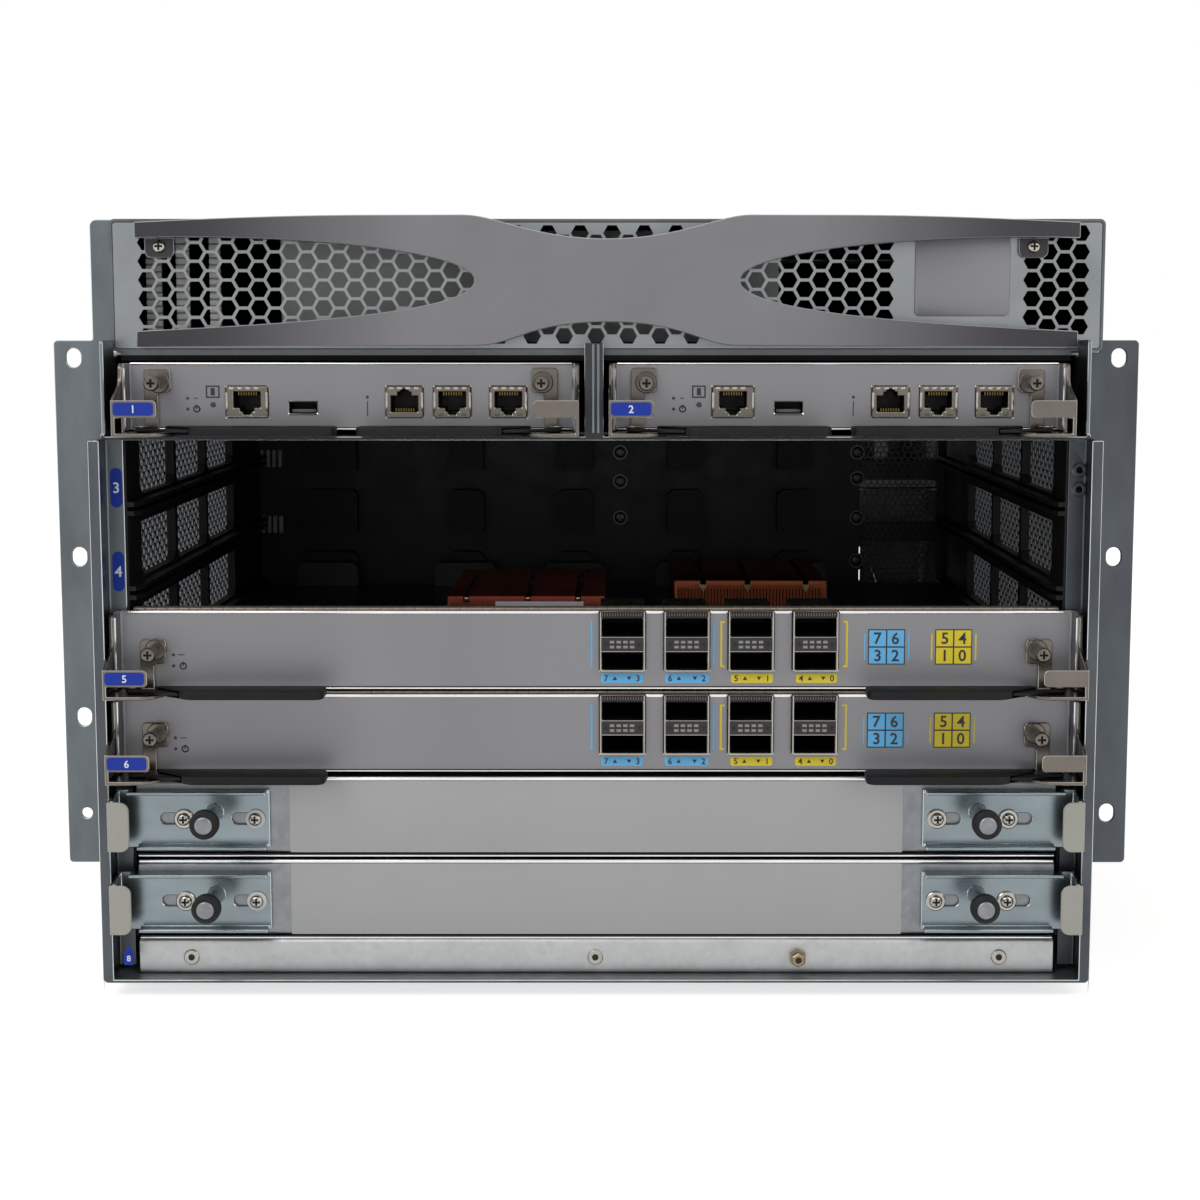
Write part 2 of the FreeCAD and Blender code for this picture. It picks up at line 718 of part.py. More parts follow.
def cut_corners(a0, a1, b0, b1, cut, level):
    """Hole wire in a side frame: a rectangle with its lower corners cut off."""
    points = [(a0 + cut, b0), (a1 - cut, b0), (a1, b0 + cut), (a1, b1), (a0, b1), (a0, b0 + cut)]
    return outline(points, "yz", level)


def card_guides():
    """Moulded side frames with windows, and a grooved rib for each slot's board."""
    y0 = front + guide_front
    y1 = front + midplane_front
    column = (y1 - y0 - sum(guide_window_ends)) / guide_window_columns
    for side, name in ((-1, "card_guide_left"), (1, "card_guide_right")):
        windows = []
        ribs = []
        for slot in range(3, 3 + slot_count):
            zero = slot_zero(slot)
            groove = zero + core_board_low - guide_clear
            lower = groove - guide_rib
            upper = groove + board_thick + 2 * guide_clear
            for z in (lower, upper):
                taper = 3.0
                rib = slab([(guide_inner, y0), (guide_inner, y1), (guide_inner - guide_reach, y1),
                            (guide_inner - guide_reach, y0 + 8.0), (guide_inner - taper, y0)],
                           "xy", z, guide_rib)
                ribs.append(rib)
            for i in range(guide_window_columns):
                a = y0 + guide_window_ends[0] + i * column
                windows.append(cut_corners(a, a + column - guide_window_bar,
                                           upper + guide_rib + 1.5, zero + shelf_pitch - 1.5,
                                           4.0, guide_inner))
        plate = slab(frame(y0, y1, slots_floor, shelf_z), "yz", guide_inner, guide_wall, 0.0, windows)
        body = joined([plate] + ribs)
        keep(name, body if side > 0 else mirrored(body))


def midplane():
    """Board across the cage that every blade plugs into, with air windows on one side."""
    y = front + midplane_front
    windows = []
    for slot in range(3, 3 + slot_count):
        zero = slot_zero(slot)
        windows.append(outline(frame(*air_window, zero + 6.0, zero + shelf_pitch - 6.0), "xz", y, 3.0))
    board = slab(frame(-midplane_half, midplane_half, midplane_low, cage_wall_top - sheet - 0.5),
                 "xz", y, midplane_thick, 0.0, windows)
    keep("midplane", board)
    sockets = []
    for slot in range(3, 3 + slot_count):
        z = slot_zero(slot) + socket_low
        for x, width in socket_columns:
            sockets.append(connector(x, y - connector_depth, z, connector_depth, width,
                                     socket_height))
    for centre in control_centres:
        for x, width in control_sockets:
            sockets.append(connector(centre + x, y - connector_depth, control_zero + socket_low + 1.0,
                                     connector_depth, width, socket_height))
    keep("midplane_connectors", *sockets)


def connector(x, y, z, depth, width, height):
    """Plug block about its middle, with its upper corners cut."""
    step = 3.0
    half = width / 2
    points = [(x - half, z), (x + half, z), (x + half, z + height - step),
              (x + half - step, z + height), (x - half + step, z + height),
              (x - half, z + height - step)]
    return slab(points, "xz", y, depth)


# ---------------------------------------------------------------- blades
def faceplate(centre, half, zero, high, cuts, screw):
    """Blade front: a channel whose ends turn forward and whose long edges turn back."""
    h = half - sheet
    y = face_front
    y_ends = front + face_return_front
    z0 = zero + face_low
    z1 = zero + high
    path = [(-h, y_ends), (-h, y + sheet), (h, y + sheet), (h, y_ends)]
    body = folded(path[::-1], "xy", z0, z1 - z0)
    corner = 3.0
    trim = slab([(y_ends - 1, z1 - corner), (y_ends - 1, z1 + 1), (y_ends + corner, z1 + 1)], "yz",
                -half - 1, 2 * half + 2)
    body = body.cut(trim)
    for z in (z0, z1 - sheet):
        flange = slab(frame(-h + flange_inset, h - flange_inset, y, y + flange_depth), "xy", z, sheet,
                      [0, 0, 2.0, 2.0])
        body = body.fuse(flange)
    body = shifted(body, centre)
    for x0, x1, low, top in cuts:
        body = body.cut(block(x0, x1, y - 1, y + flange_depth + 1, zero + low, zero + top))
    for s in (-1, 1):
        body = body.cut(y_rod(screw_thread_r + screw_hole_gap, centre + s * (half - screw[0]),
                              zero + screw[1], y - 2, y + 3))
    return body.removeSplitter()


def corner_bracket(half, zero, high, tab_low, screw, ear_box):
    """Left corner bracket about a blade's middle: side plate, tab, foot, screw ear, pivot."""
    x = -half
    z_tab = zero + tab_low
    z_top = zero + high
    y_plate = front + face_return_front
    y_tab = front + tab_front
    foot_z = zero + foot_low
    bend_top = z_tab + tab_height + 7.0
    side = slab([(y_tab, foot_z), (face_back, foot_z), (face_back, z_top), (y_plate, z_top),
                 (y_plate, bend_top), (y_tab, z_tab + tab_height)], "yz", x, sheet,
                [0, 0, 0, 3.0, 6.0, 1.0])
    window = slab([(y_tab + sheet + 0.5, foot_z + sheet), (y_plate + 4, foot_z + sheet),
                   (y_plate + 4, z_tab - 0.6), (y_tab + sheet + 0.5, z_tab - 0.6)], "yz", x - 1, 4.0)
    side = side.cut(window)
    tab = slab(frame(x, x + tab_length, z_tab, z_tab + tab_height), "xz", y_tab, sheet,
               [0, 2.0, 2.0, 0])
    pivot = (x + pivot_inset, front + pivot_setback)
    foot = slab([(x, y_tab), (x + pivot_inset + foot_reach, y_tab), (x + pivot_inset + foot_reach,
                 face_front), (x, face_front)], "xy", foot_z, sheet)
    round_end = z_rod(foot_reach, *pivot, foot_z - 1, foot_z + 3)
    outboard = block(x - 1, pivot[0], y_tab - 1, face_front + 1, foot_z - 1, foot_z + 3)
    foot = foot.common(round_end.fuse(outboard))
    screw_x = x + screw[0]
    screw_z = zero + screw[1]
    left, right, low, top = ear_box
    leg = 6.0
    ear = slab([(screw_x + left, foot_z), (screw_x + left + leg, foot_z),
                (screw_x + left + leg, screw_z + low), (screw_x + right, screw_z + low),
                (screw_x + right, screw_z + top), (screw_x + left, screw_z + top)], "xz",
               face_front - sheet, sheet, [0, 0, 1.5, 2.0, 2.0, 2.0])
    ear = ear.cut(y_rod(screw_thread_r + screw_hole_gap, screw_x, screw_z, face_front - 4,
                        face_front + 1))
    pin = z_rod(pivot_r, *pivot, foot_z, zero + lever_low + lever_sheet + 0.3)
    head = z_rod(pivot_head_r, *pivot, zero + lever_low + lever_sheet + 0.3,
                 zero + lever_low + lever_sheet + 1.0)
    rivets = [rod(1.5, FreeCAD.Vector(x + sheet, y_plate + 5.0, z),
                  FreeCAD.Vector(x - 0.0, y_plate + 5.0, z)) for z in (z_top - 8.0, z_top - 17.0)]
    return joined([side, tab, foot, ear, pin, head] + rivets)


def captive_screw(x, z):
    """Long captive screw: head, neck up to the bracket's ear, and thread through it."""
    y = front
    ear_y = face_front - sheet
    return y_turned(x, z, [(screw_head_r, y + screw_front), (screw_head_r, y + screw_front + 4.0),
                           (screw_neck_r, y + screw_front + 4.0),
                           (screw_neck_r, ear_y), (screw_thread_r, ear_y),
                           (screw_thread_r, y + screw_tail)])


def lever(half, zero, grip):
    """Left ejector lever about a blade's middle: a steel plate in a moulded grip."""
    x = -half
    pivot = (x + pivot_inset, front + pivot_setback)
    z = zero + lever_low
    start = x + grip[0]
    end = x + grip[1]
    y_in = front + grip_front
    y_out = front + grip_back
    plate = slab([(pivot[0] - 3.0, pivot[1] - lever_eye_r), (pivot[0] + 6.0, pivot[1] - lever_eye_r),
                  (start + 4.0, y_in + 4.0), (end - 6.0, y_in + 4.0), (end - 6.0, y_out - 4.0),
                  (start - 6.0, y_out - 4.0), (pivot[0] + 2.0, pivot[1] + lever_eye_r),
                  (pivot[0] - 3.0, pivot[1] + lever_eye_r)], "xy", z, lever_sheet,
                 [4.0, 3.0, 2.0, 0, 0, 2.0, 2.0, 3.3])
    plate = plate.cut(z_rod(pivot_r + pivot_gap, *pivot, z - 1, z + lever_sheet + 1))
    grip_body = slab([(start, y_out), (start - 1.0, y_out - 2.5), (start + grip_taper, y_in),
                      (end, y_in), (end, y_out)], "xy", zero + grip_low, grip_high - grip_low,
                     [0.8, 0.8, 8.0, 4.0, 4.0])
    over_foot = z_rod(foot_reach + touch_gap, *pivot, zero, z)
    return Part.makeCompound([plate, grip_body.cut(plate).cut(over_foot)])


def plug_board(zero, low, board_half, columns):
    """Circuit board with its plugs at the back edge."""
    z = zero + low
    notch = 5.0
    board = slab([(-board_half + notch, face_back), (board_half - notch, face_back),
                  (board_half, face_back + notch), (board_half, front + board_back),
                  (-board_half, front + board_back), (-board_half, face_back + notch)],
                 "xy", z, board_thick)
    y = front + midplane_front - connector_depth - connector_gap - plug_depth
    half_plug = plug_width / 2
    seat = z + board_thick
    plugs = []
    for x, _ in columns:
        foot = block(x - half_plug, x + half_plug, y, y + plug_depth - 4.0, seat, seat + 0.5)
        plug = connector(x, y, seat + 0.5, plug_depth, plug_width, plug_height)
        plugs.append(joined([plug, foot]))
    return joined([board] + plugs)


def hang(name, half, centre, zero, high, tab_low, screw, ear_box, grip):
    """Brackets, captive screws and levers of one blade."""
    bracket = corner_bracket(half, zero, high, tab_low, screw, ear_box)
    keep(name + "_brackets", shifted(bracket, centre), shifted(mirrored(bracket), centre))
    keep(name + "_screws", *[captive_screw(centre + s * (half - screw[0]), zero + screw[1])
                             for s in (-1, 1)])
    handle = lever(half, zero, grip)
    keep(name + "_lever_left", shifted(handle, centre))
    keep(name + "_lever_right", shifted(mirrored(handle), centre))


def jack(x, zero, width, key_up):
    """Modular jack: a shell with a keyed pocket, seated on the board."""
    z0 = zero + control_board_low + board_thick
    y = front + jack_front
    body = block(x - width / 2, x + width / 2, y, y + jack_depth, z0, z0 + jack_height)
    low = z0 + (jack_height - jack_socket_height) / 2 + (-0.9 if key_up else 0.9)
    top = low + jack_socket_height
    s = 1 if key_up else -1
    key_z = top if key_up else low
    w = jack_socket / 2
    pocket = block(x - w, x + w, y - 1, y + jack_pocket, low, top)
    k1 = sorted((key_z - s * 0.5, key_z + s * jack_key_height))
    k2 = sorted((key_z, key_z + s * (jack_key_height + jack_notch_height)))
    pocket = pocket.fuse(block(x - jack_key_width / 2, x + jack_key_width / 2, y - 1,
                               y + jack_pocket, *k1))
    pocket = pocket.fuse(block(x - jack_notch_width / 2, x + jack_notch_width / 2, y - 1,
                               y + jack_pocket - 3, *k2))
    return body.cut(pocket.removeSplitter())


def usb_port(x, zero):
    """Flat serial port behind the faceplate, seated on the board."""
    z0 = zero + control_board_low + board_thick
    low = zero + usb_low
    body = block(x - usb_width / 2 - 0.7, x + usb_width / 2 + 0.7, face_back,
                 face_back + usb_depth, z0, low + usb_height + 0.7)
    return body.cut(block(x - usb_width / 2, x + usb_width / 2, face_back - 1,
                          face_back + usb_depth - 2.0, low, low + usb_height))


def control_blades():
    """Two control blades side by side on the shelf."""
    for name, centre in zip(("control_blade_1", "control_blade_2"), control_centres):
        zero = control_zero
        jack_low = control_board_low + board_thick
        cuts = []
        jacks = []
        for offset, width, key_up in ((wide_jack_offset, wide_jack_width, False),
                                      (jack_offsets[0], jack_width, True),
                                      (jack_offsets[1], jack_width, False),
                                      (jack_offsets[2], jack_width, False)):
            x = centre + offset
            cuts.append((x - width / 2 - 0.2, x + width / 2 + 0.2, jack_low - 0.2,
                         jack_low + jack_height + 0.2))
            jacks.append(jack(x, zero, width, key_up))
        x = centre + usb_offset
        cuts.append((x - usb_width / 2, x + usb_width / 2, usb_low, usb_low + usb_height))
        jacks.append(usb_port(x, zero))
        keep(name + "_faceplate", faceplate(centre, control_half, zero, control_face_high, cuts,
                                            control_screw))
        board = plug_board(zero, control_board_low, control_board_half, control_sockets)
        keep(name + "_board", shifted(board, centre))
        keep(name + "_jacks", *jacks)
        hang(name, control_half, centre, zero, control_face_high, control_tab_low, control_screw,
             control_ear, control_grip)


def port_cage(x, zero):
    """Stacked pluggable-module cage: two pockets, one over the other, on a plinth."""
    y = front + cage_port_front
    w = cage_port_width / 2
    body = block(x - w, x + w, y, y + cage_port_depth, zero + cage_port_low, zero + cage_port_high)
    plinth = block(x - w, x + w, face_back + 1.0, y + cage_port_depth, zero + core_board_low
                   + board_thick, zero + cage_port_low)
    body = joined([body, plinth])
    for low in (lower_port_low, upper_port_low):
        body = body.cut(block(x - port_width / 2, x + port_width / 2, y - 1, y + port_pocket,
                              zero + low, zero + low + port_height))
    return body


def heatsink(x0, x1, y0, y1, z0, z1, bars):
    """Finned block: a base, fins across the blade and clip grooves along it."""
    base = 4.0
    pitch = 12.0
    body = block(x0, x1, y0, y1, z0, z0 + base)
    count = int((y1 - y0) / pitch)
    fins = []
    for i in range(count):
        y = y0 + (y1 - y0 - pitch * (count - 1) - 2.4) / 2 + i * pitch
        fins.append(block(x0, x1, y, y + 2.4, z0 + base, z1))
    body = joined([body] + fins)
    for share in bars:
        x = x0 + share * (x1 - x0)
        body = body.cut(block(x - 2.2, x + 2.2, y0 - 1, y1 + 1, z1 - 5.0, z1 + 1))
    return body


def core_blades():
    """Two core routing blades across the full width, in slots 5 and 6."""
    for name, slot in (("core_blade_5", 5), ("core_blade_6", 6)):
        zero = slot_zero(slot)
        centres = [cage_port_first + i * cage_port_pitch for i in range(4)]
        cuts = [(x - cage_port_width / 2 - 0.2, x + cage_port_width / 2 + 0.2,
                 cage_port_low - 0.2, core_face_high + 1.0) for x in centres]
        keep(name + "_faceplate", faceplate(0.0, core_half, zero, core_face_high, cuts, core_screw))
        board = plug_board(zero, core_board_low, core_board_half, socket_columns)
        keep(name + "_board", board)
        keep(name + "_cages", *[port_cage(x, zero) for x in centres])
        top = zero + core_board_low + board_thick
        keep(name + "_heatsinks",
             heatsink(-76.0, 3.0, front + 148.0, front + 273.0, top, zero + 27.0, (0.12, 0.51, 0.83)),
             heatsink(38.8, 118.3, front + 190.0, front + 306.0, top, zero + 30.0, (0.19, 0.48, 0.86)))
        hang(name, core_half, 0.0, zero, core_face_high, core_tab_low, core_screw, core_ear, core_grip)


# ---------------------------------------------------------------- fillers
def latch(zero):
    """Left sliding latch: flanged plate with two slots, a bent front tab and a knob."""
    plate_back = front + filler_setback - touch_gap
    y = plate_back - latch_sheet
    z0 = zero + latch_low
    z1 = zero + latch_high
    slots = [oval(-x - latch_travel, -x, latch_slot_r, y, zero + guide_height) for x in guide_x]
    plate = slab(frame(-latch_outer, -latch_inner, z0, z1), "xz", y, latch_sheet, 0.0, slots)
    top = block(-latch_outer + 6.0, -latch_inner - 1.0, y - latch_flange, y + latch_sheet,
                z1 - latch_sheet, z1)
    low = block(-latch_outer + 10.0, -latch_inner - 1.0, y - latch_flange, y + latch_sheet,
                z0, z0 + latch_sheet)
    y_tab = front + latch_tab_front
    tab_z0 = zero + latch_tab_low
    tab_z1 = zero + latch_tab_high
    cheek = slab([(y_tab, tab_z0), (y + latch_sheet, tab_z0), (y + latch_sheet, z1 - 1.0),
                  (y_tab + 5.0, z1 - 1.0), (y_tab, tab_z1)], "yz", -latch_outer, latch_sheet,
                 [0, 0, 0, 4.0, 2.0])
    tab = slab(frame(-latch_outer - latch_tab_over, -latch_outer - latch_tab_over + latch_tab_width,
                     tab_z0, tab_z1), "xz", y_tab, latch_sheet, [0, 4.0, 4.0, 0])
    knob_z = zero + knob_height
    pin = y_turned(-knob_x, knob_z, [(knob_r - 0.4, front + knob_front), (knob_r, front + knob_front
                                                                          + 0.5), (knob_r, y)])
    ring = y_turned(-knob_x, knob_z, [(knob_ring_r - 1.2, front + knob_front + 0.8),
                                      (knob_ring_r, front + knob_front + 2.0),
                                      (knob_ring_r, front + knob_front + knob_ring_long),
                                      (knob_r, front + knob_front + knob_ring_long)])
    return joined([plate, top, low, cheek, tab, pin, ring])


def fillers():
    """Blanking panels of slots 7 and 8, held by a sliding latch at each end."""
    for slot in (7, 8):
        name = "filler_panel_%d" % slot
        zero = slot_zero(slot)
        y = front + filler_setback
        z0 = zero + filler_face_low
        z1 = zero + filler_face_high
        path = [(y + 40.0, z1), (y, z1), (y, z0), (y + 9.0, z0)]
        shell = folded(path, "yz", -filler_half, 2 * filler_half)
        tray_z = zero + core_board_low
        tray = slab([(-filler_half, y + sheet), (filler_half, y + sheet),
                     (filler_half, y + 16.0), (core_board_half, y + 18.0),
                     (core_board_half, y + filler_tray_depth), (-core_board_half,
                     y + filler_tray_depth), (-core_board_half, y + 18.0), (-filler_half, y + 16.0)],
                    "xy", tray_z, board_thick)
        body = joined([shell, tray])
        guides = []
        for s in (-1, 1):
            for x in guide_x:
                z = zero + guide_height
                body = body.cut(y_rod(1.55, s * x, z, y - 1, y + 3))
                stop = y - touch_gap - latch_sheet - touch_gap
                guides.append(y_turned(s * x, z, [(2.0, stop - 2.6), (guide_head_r, stop - 0.8),
                                                  (guide_washer_r, stop - 0.8), (guide_washer_r, stop),
                                                  (guide_shoulder_r, stop),
                                                  (guide_shoulder_r, y), (1.5, y), (1.5, y + 5.0)]))
        keep(name, body)
        keep(name + "_guide_screws", *guides)
        keep(name + "_latch_left", latch(zero))
        keep(name + "_latch_right", mirrored(latch(zero)))


# ---------------------------------------------------------------- rear modules
def pull_lip(x, z, y):
    """Folded finger lip standing out of a rear face."""
    path = [(y, z), (y + pull_reach, z), (y + pull_reach, z - pull_drop)]
    return folded(path, "yz", x - pull_width / 2, pull_width)


def fan_trays():
    """Slide-in fan trays: a box with a round mouth, a slotted rear face, a motor and a rotor."""
    width = module_width
    z0 = sheet + touch_gap
    z1 = rear_shelf - 1.0
    for side, name in ((-1, "left"), (1, "right")):
        x0 = sheet / 2 + module_side_gap
        x1 = x0 + width
        cx = (x0 + x1) / 2
        cz = (z0 + z1) / 2
        y1 = rear - sheet - 1.0
        y0 = y1 - fan_depth
        shell = slab(frame(x0, x1, z0, z1), "xz", y0, fan_depth, 3.0)
        shell = shell.cut(block(x0 + fan_wall, x1 - fan_wall, y0 + fan_wall, y1 - fan_wall,
                                z0 + fan_wall, z1 - fan_wall))
        shell = shell.cut(y_rod(fan_bore_r, cx, cz, y0 - 1, y0 + fan_wall + 1))
        bars = 15
        for i in range(bars):
            offset = (i - (bars - 1) / 2) * 10.0
            reach = sqrt(fan_bore_r ** 2 - offset ** 2)
            shell = shell.cut(block(cx + offset - 3.6, cx + offset + 3.6, y1 - fan_wall - 1, y1 + 1,
                                    cz - reach, cz - 4.0))
            shell = shell.cut(block(cx + offset - 3.6, cx + offset + 3.6, y1 - fan_wall - 1, y1 + 1,
                                    cz + 4.0, cz + reach))
        motor = y_rod(fan_hub_r - 2.0, cx, cz, y1 - 24.0, y1 - fan_wall)
        shaft = y_rod(shaft_r, cx, cz, y1 - 24.0 - 34.0, y1 - 24.0)
        tray = joined([shell, motor, shaft, pull_lip(cx, z0 + 12.0, y1)])
        rotor_y0 = y1 - 24.0 - 32.0
        rotor_y1 = y1 - 24.0 - touch_gap
        hub = y_rod(fan_hub_r, cx, cz, rotor_y0, rotor_y1)
        blades = []
        for k in range(fan_blades):
            blade = rotor_blade(rotor_y0 + 2.0, rotor_y1 - 2.0)
            blade.rotate(FreeCAD.Vector(0, 0, 0), FreeCAD.Vector(0, 1, 0), 360.0 / fan_blades * k)
            blades.append(shifted(blade, cx, 0, cz))
        rotor = joined([hub] + blades).cut(y_rod(shaft_r + shaft_gap, cx, cz, rotor_y0 - 1,
                                                 rotor_y1 + 1))
        keep("fan_tray_" + name, tray if side > 0 else mirrored(tray))
        keep("fan_rotor_" + name, rotor if side > 0 else mirrored(rotor))


def rotor_blade(y0, y1):
    """Twisted fan blade standing up from the hub, lofted from root to tip."""
    tip = fan_bore_r - fan_tip_gap
    sections = []
    for radius, lean in ((fan_hub_r - 3.0, 12.0), (tip, 24.0)):
        t = fan_blade_thick / 2
        spots = [(-lean - t, y0), (-lean + t, y0), (lean + t, y1), (lean - t, y1)]
        height = sqrt(radius ** 2 - (lean + t) ** 2)
        sections.append(Part.makePolygon([FreeCAD.Vector(a, b, height) for a, b in spots + spots[:1]]))
    return Part.makeLoft(sections, True, True)


def supplies():
    """Slide-in power supplies: sheet boxes with a vented rear face, an inlet and a lip."""
    width = module_width
    z0 = rear_shelf + sheet + touch_gap
    z1 = cage_wall_top - sheet - 1.0
    for side, name in ((-1, "left"), (1, "right")):
        x0 = sheet / 2 + module_side_gap
        x1 = x0 + width
        y1 = rear - sheet - 1.0
        y0 = y1 - supply_depth
        body = slab(frame(x0, x1, z0, z1), "xz", y0, supply_depth, 2.0)
        body = body.cut(block(x0 + sheet, x1 - sheet, y0 + sheet, y1 - sheet, z0 + sheet, z1 - sheet))
        inlet_x = x1 - 34.0
        inlet_z = z0 + 24.0
        reach_x = inlet_width / 2 + sheet
        reach_z = inlet_height / 2 + sheet
        body = body.fuse(block(inlet_x - reach_x, inlet_x + reach_x, y1 - inlet_depth - sheet,
                               y1 - sheet / 2, inlet_z - reach_z, inlet_z + reach_z))
        shape = frame(inlet_x - inlet_width / 2, inlet_x + inlet_width / 2,
                      inlet_z - inlet_height / 2, inlet_z + inlet_height / 2)
        body = body.cut(slab(shape, "xz", y1 - inlet_depth, inlet_depth + 1, [0, 0, 3.0, 3.0]))
        columns = 12
        for i in range(columns):
            x = x0 + 14.0 + i * 10.0
            for low, high in ((z0 + 10.0, z0 + 36.0), (z0 + 44.0, z0 + 72.0)):
                body = body.cut(block(x, x + 6.0, y1 - 3.0, y1 + 1, low, high))
        for i in range(6):
            x = x0 + 13.0 + i * 32.0
            body = body.cut(block(x, x + 24.0, y0 - 1, y0 + 3, z0 + 12.0, z1 - 12.0))
        body = joined([body, pull_lip(x1 - 44.0, z1 - 10.0, y1)])
        keep("power_supply_" + name, body if side > 0 else mirrored(body))


chassis_tub()
top_cover()
vent_grille()
front_bezel()
rack_brackets()
slot_shelf()
front_rails()
bottom_sill()
card_guides()
midplane()
control_blades()
core_blades()
fillers()
fan_trays()
supplies()

os.makedirs("parts", exist_ok=True)
for name, shape in parts.items():
    shape.exportStep("parts/" + name + ".step")
print(len(parts), "nodes,", sum(len(shape.Solids) for shape in parts.values()), "solids")
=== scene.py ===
"""Looks of a modular chassis switch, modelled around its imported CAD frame.

Sizes in the classes are millimetres, in the frame's own axes: X across the front, Y into the
rack, Z up from the underside of the cage. Blender's own units are metres.
"""
import logging
import math
from collections.abc import Callable
from dataclasses import dataclass, field
from enum import Enum

import bpy
from mathutils import Matrix, Vector

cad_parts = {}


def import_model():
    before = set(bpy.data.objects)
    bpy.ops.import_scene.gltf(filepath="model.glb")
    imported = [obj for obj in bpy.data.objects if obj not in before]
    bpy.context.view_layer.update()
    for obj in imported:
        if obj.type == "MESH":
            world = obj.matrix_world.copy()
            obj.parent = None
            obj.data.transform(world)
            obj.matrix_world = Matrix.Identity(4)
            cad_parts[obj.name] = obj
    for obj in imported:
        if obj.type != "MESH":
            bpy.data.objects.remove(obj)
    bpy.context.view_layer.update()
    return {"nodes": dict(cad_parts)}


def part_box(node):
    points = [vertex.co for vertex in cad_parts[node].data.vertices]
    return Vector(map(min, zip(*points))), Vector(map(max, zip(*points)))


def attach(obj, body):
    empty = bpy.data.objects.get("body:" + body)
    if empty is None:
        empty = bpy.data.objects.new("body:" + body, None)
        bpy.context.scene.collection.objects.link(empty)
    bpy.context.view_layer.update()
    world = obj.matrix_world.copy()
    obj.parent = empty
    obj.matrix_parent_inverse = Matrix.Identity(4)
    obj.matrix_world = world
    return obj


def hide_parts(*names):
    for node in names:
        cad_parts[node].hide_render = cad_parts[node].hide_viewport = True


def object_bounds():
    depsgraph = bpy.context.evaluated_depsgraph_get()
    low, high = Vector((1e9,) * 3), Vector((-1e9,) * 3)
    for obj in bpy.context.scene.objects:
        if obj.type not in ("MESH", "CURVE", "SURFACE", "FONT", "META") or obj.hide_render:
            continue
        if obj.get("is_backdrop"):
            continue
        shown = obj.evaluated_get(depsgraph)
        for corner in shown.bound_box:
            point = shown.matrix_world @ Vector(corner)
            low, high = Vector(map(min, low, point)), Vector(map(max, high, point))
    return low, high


MM = 0.001
LOG = logging.getLogger("chassis_switch")
# Shading: strength of every grain, limits between which a cloud is drawn, and how far a cloud
# moves the roughness, as a share of it.
BUMP_STRENGTH = 0.35
CLOUD_LOW = 0.3
CLOUD_HIGH = 0.7
ROUGH_SHARE = 0.12
# Modelling, in millimetres: how close two vertices of a CAD mesh or of a honeycomb are merged.
CAD_MERGE = 0.003
COMB_MERGE = 0.02
# Degrees between faces: what counts as flat, and what counts as a fold.
FLAT_ANGLE = 0.5
FOLD_ANGLE = 50.0
# Figures: their height as a share of the font's size, and how much a stroke is thickened.
FIGURE_SHARE = 0.70
STROKE_SHARE = 0.022
# Labels: their thickness, and how far a figure's middle stands off the surface below.
LABEL_THICK = 0.12
FIGURE_LIFT = 0.16
Point = tuple[float, float, float]
Piece = bpy.types.Object
Socket = bpy.types.NodeSocket


class Axis(Enum):
    """A direction of the frame."""

    X = 0
    Y = 1
    Z = 2


class Hand(Enum):
    """The side of the cage that a piece is on, seen from the front."""

    LEFT = -1
    RIGHT = 1


# ------------------------------------------------------------------ materials
def linear(code: str) -> tuple[float, float, float, float]:
    """Turn an sRGB hex colour into linear values.

    Args:
        code: Six hex digits, with or without a leading hash.

    Returns:
        Red, green, blue and an alpha of 1.
    """
    digits = code.lstrip("#")
    values = [int(digits[i:i + 2], 16) / 255 for i in (0, 2, 4)]
    return (*[v / 12.92 if v <= 0.04045 else ((v + 0.055) / 1.055) ** 2.4 for v in values], 1.0)


def add_node(tree: bpy.types.NodeTree, kind: str, settings: dict | None = None,
             inputs: dict | None = None) -> bpy.types.Node:
    """Add a shader node with its settings, values and links.

    Args:
        tree: The node tree that gets the node.
        kind: The node's type name.
        settings: Attributes to set on the node.
        inputs: Values or output sockets, by the name or number of the input.

    Returns:
        The new node.
    """
    made = tree.nodes.new(kind)
    for key, value in (settings or {}).items():
        setattr(made, key, value)
    for key, value in (inputs or {}).items():
        if isinstance(value, bpy.types.NodeSocket):
            tree.links.new(value, made.inputs[key])
        else:
            made.inputs[key].default_value = value
    return made


def reckon(tree: bpy.types.NodeTree, operation: str, first: Socket | float,
           second: Socket | float = 0.0) -> Socket:
    """Add a sum of two values to a node tree.

    Args:
        tree: The node tree.
        operation: Name of the sum.
        first: The first value.
        second: The second value, where the sum has one.

    Returns:
        The sum's output socket.
    """
    return add_node(tree, "ShaderNodeMath", {"operation": operation},
                    {0: first, 1: second}).outputs[0]


def mix(tree: bpy.types.NodeTree, share: Socket | float, first: Socket | float,
        second: Socket | float) -> Socket:
    """Blend two values by a share of the second one."""
    return add_node(tree, "ShaderNodeMix", None, {0: share, 2: first, 3: second}).outputs[0]


def mix_colours(tree: bpy.types.NodeTree, share: Socket | float, first: Socket | tuple,
                second: Socket | tuple, way: str = "MIX") -> Socket:
    """Blend two colours.

    Args:
        tree: The node tree.
        share: Share of the second colour.
        first: The first colour.
        second: The second colour.
        way: Name of the way they blend.

    Returns:
        The colour's output socket.
    """
    return add_node(tree, "ShaderNodeMix", {"data_type": "RGBA", "blend_type": way},
                    {0: share, 6: first, 7: second}).outputs[2]


